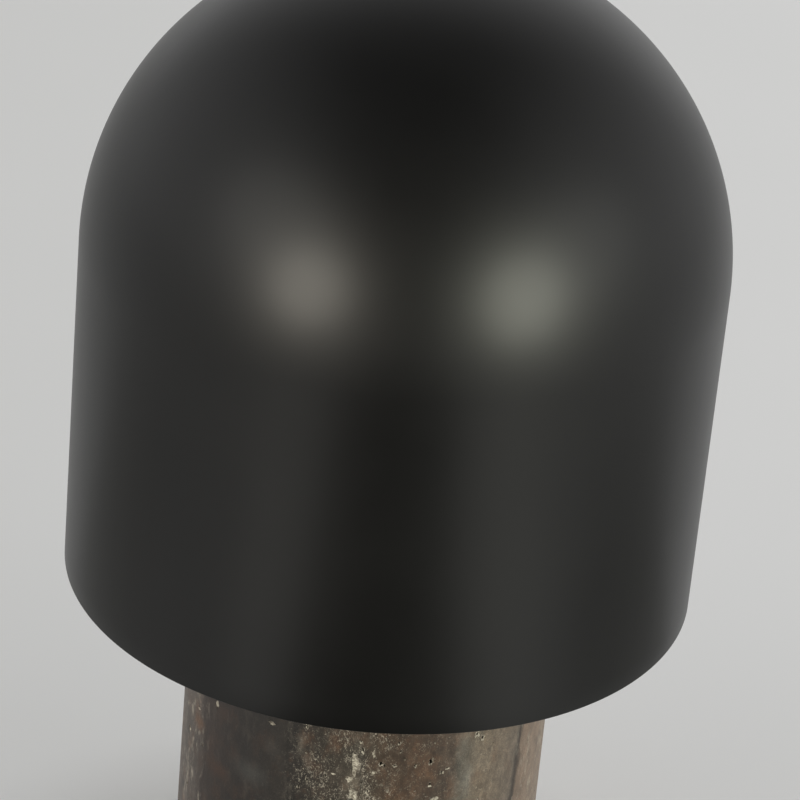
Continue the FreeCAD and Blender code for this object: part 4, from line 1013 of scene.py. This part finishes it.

# The cards, for painted reflections: their corners on the floor (across, back) in metres, their grey
# and their glow.
CARD_HEIGHT = 4 * MM
CARDS = {
    "flag": (((-0.10, -0.17), (0.12, -0.17), (0.75, -2.6), (-0.6, -2.6)), 0.002, 0),
    "bounce": (((0.16, -0.18), (0.36, -0.24), (0.48, -0.6), (0.22, -0.62)), 0.5, 0.35),
    "left_bounce": (((-0.13, -0.25), (-0.22, -0.22), (-0.38, -0.46), (-0.2, -0.6)), 0.5, 0.45),
    "left_dim": (((-0.28, -0.09), (-0.52, -0.12), (-0.62, 0.14), (-0.28, 0.14)), 0.3, 0),
    "right_dim": (((0.26, -0.15), (0.5, -0.2), (0.62, 0.12), (0.26, 0.12)), 0.2, 0),
}


def soft_light(name, spot, azimuth, elevation, size, watts, colour):
    """A round or oval area light that faces its spot."""
    data = bpy.data.lights.new(name, "AREA")
    data.shape = "ELLIPSE"
    data.size, data.size_y = size
    data.energy = watts
    data.color = colour
    light = bpy.data.objects.new(name, data)
    bpy.context.scene.collection.objects.link(light)
    turn = math.radians(azimuth)
    rise = math.radians(elevation)
    away = Vector((math.sin(turn) * math.cos(rise), -math.cos(turn) * math.cos(rise), math.sin(rise)))
    light.location = Vector(spot) * MM + Vector((0, 0, RIM)) + away * LIGHT_DISTANCE
    light.rotation_euler = away.to_track_quat("Z", "Y").to_euler()
    return light


def sky_light():
    """Broad, even light from above and behind."""
    data = bpy.data.lights.new("back_sky", "SUN")
    data.energy = SKY_STRENGTH
    data.angle = SKY_SPREAD
    sky = bpy.data.objects.new("back_sky", data)
    bpy.context.scene.collection.objects.link(sky)
    sky.rotation_euler = SKY_TURN
    return sky


def keep_off(name, lights):
    """These lights don't shine on the named piece."""
    group = bpy.data.collections.new("unlit_" + name)
    group.objects.link(bpy.data.objects[name])
    group.collection_objects[0].light_linking.link_state = "EXCLUDE"
    for light in lights:
        light.light_linking.receiver_collection = group


def make_lights():
    """Of these lights only the sky shines on the floor, and all but the sky on the shade."""
    keep_off("floor", [soft_light(name, *details) for name, details in SOFT_LIGHTS.items()])
    keep_off("shade_spun", [sky_light()])


def reflected_card(name, corners, grey, glow):
    """A card lying just above the floor that only reflections see."""
    bm = bmesh.new()
    bm.faces.new([bm.verts.new((across, back, CARD_HEIGHT)) for across, back in corners])
    card = finished(bm, name)
    look = Look(name, Base_Color=(grey, grey, grey, 1), Roughness=1.0)
    look.shader.inputs["Emission Color"].default_value = (1, 1, 1, 1)
    look.shader.inputs["Emission Strength"].default_value = glow
    card.data.materials.append(look.material)
    card.visible_camera = False
    card.visible_diffuse = False
    card.visible_shadow = False


def make_cards():
    """The flag paints a dark reflection on the middle of the shade, and the others paint lighter or
    darker reflections on its two sides.
    """
    for name, (corners, grey, glow) in CARDS.items():
        reflected_card(name, corners, grey, glow)


def make_world():
    """Pale walls at the back and sides, a dim ceiling, and a dark room behind the camera."""
    world = bpy.data.worlds.new("studio")
    bpy.context.scene.world = world
    world.use_nodes = True
    tree = world.node_tree
    direction = add_node(tree, "ShaderNodeTexCoord").outputs["Generated"]
    axes = add_node(tree, "ShaderNodeSeparateXYZ", {0: direction}).outputs
    side = add_node(tree, "ShaderNodeMath", {0: axes["X"]}, operation="ABSOLUTE").outputs[0]
    to_wall = {0: side, 1: axes["Y"]}
    walls = add_node(tree, "ShaderNodeMath", to_wall, operation="MAXIMUM").outputs[0]
    # each range runs from where a surface starts to show to where it shows fully
    wall_range = {0: walls, 1: 0.25, 2: 0.95, 3: 0.03, 4: 0.85}
    ceiling_range = {0: axes["Z"], 1: 0.45, 2: 0.95, 3: 0.0, 4: 0.07}
    level, ceiling = (
        add_node(tree, "ShaderNodeMapRange", values, interpolation_type="SMOOTHSTEP").outputs[0]
        for values in (wall_range, ceiling_range)
    )
    room = add_node(tree, "ShaderNodeMath", {0: level, 1: ceiling}, operation="ADD").outputs[0]
    seen = add_node(tree, "ShaderNodeLightPath").outputs["Is Camera Ray"]
    shown = add_node(tree, "ShaderNodeMix", {0: seen, 2: room, 3: SEEN_BACKDROP}).outputs[0]
    tree.links.new(shown, tree.nodes["Background"].inputs["Color"])


# --- the whole lamp ---------------------------------------------------------------------------

make_camera()
make_floor()
make_cards()
make_world()
make_stone()
make_felt()
make_shade()
make_bulb_cap()
make_screw_shell()
make_bushing()
finish_cad_nodes()
make_lights()
bpy.context.scene.view_settings.view_transform = "Standard"
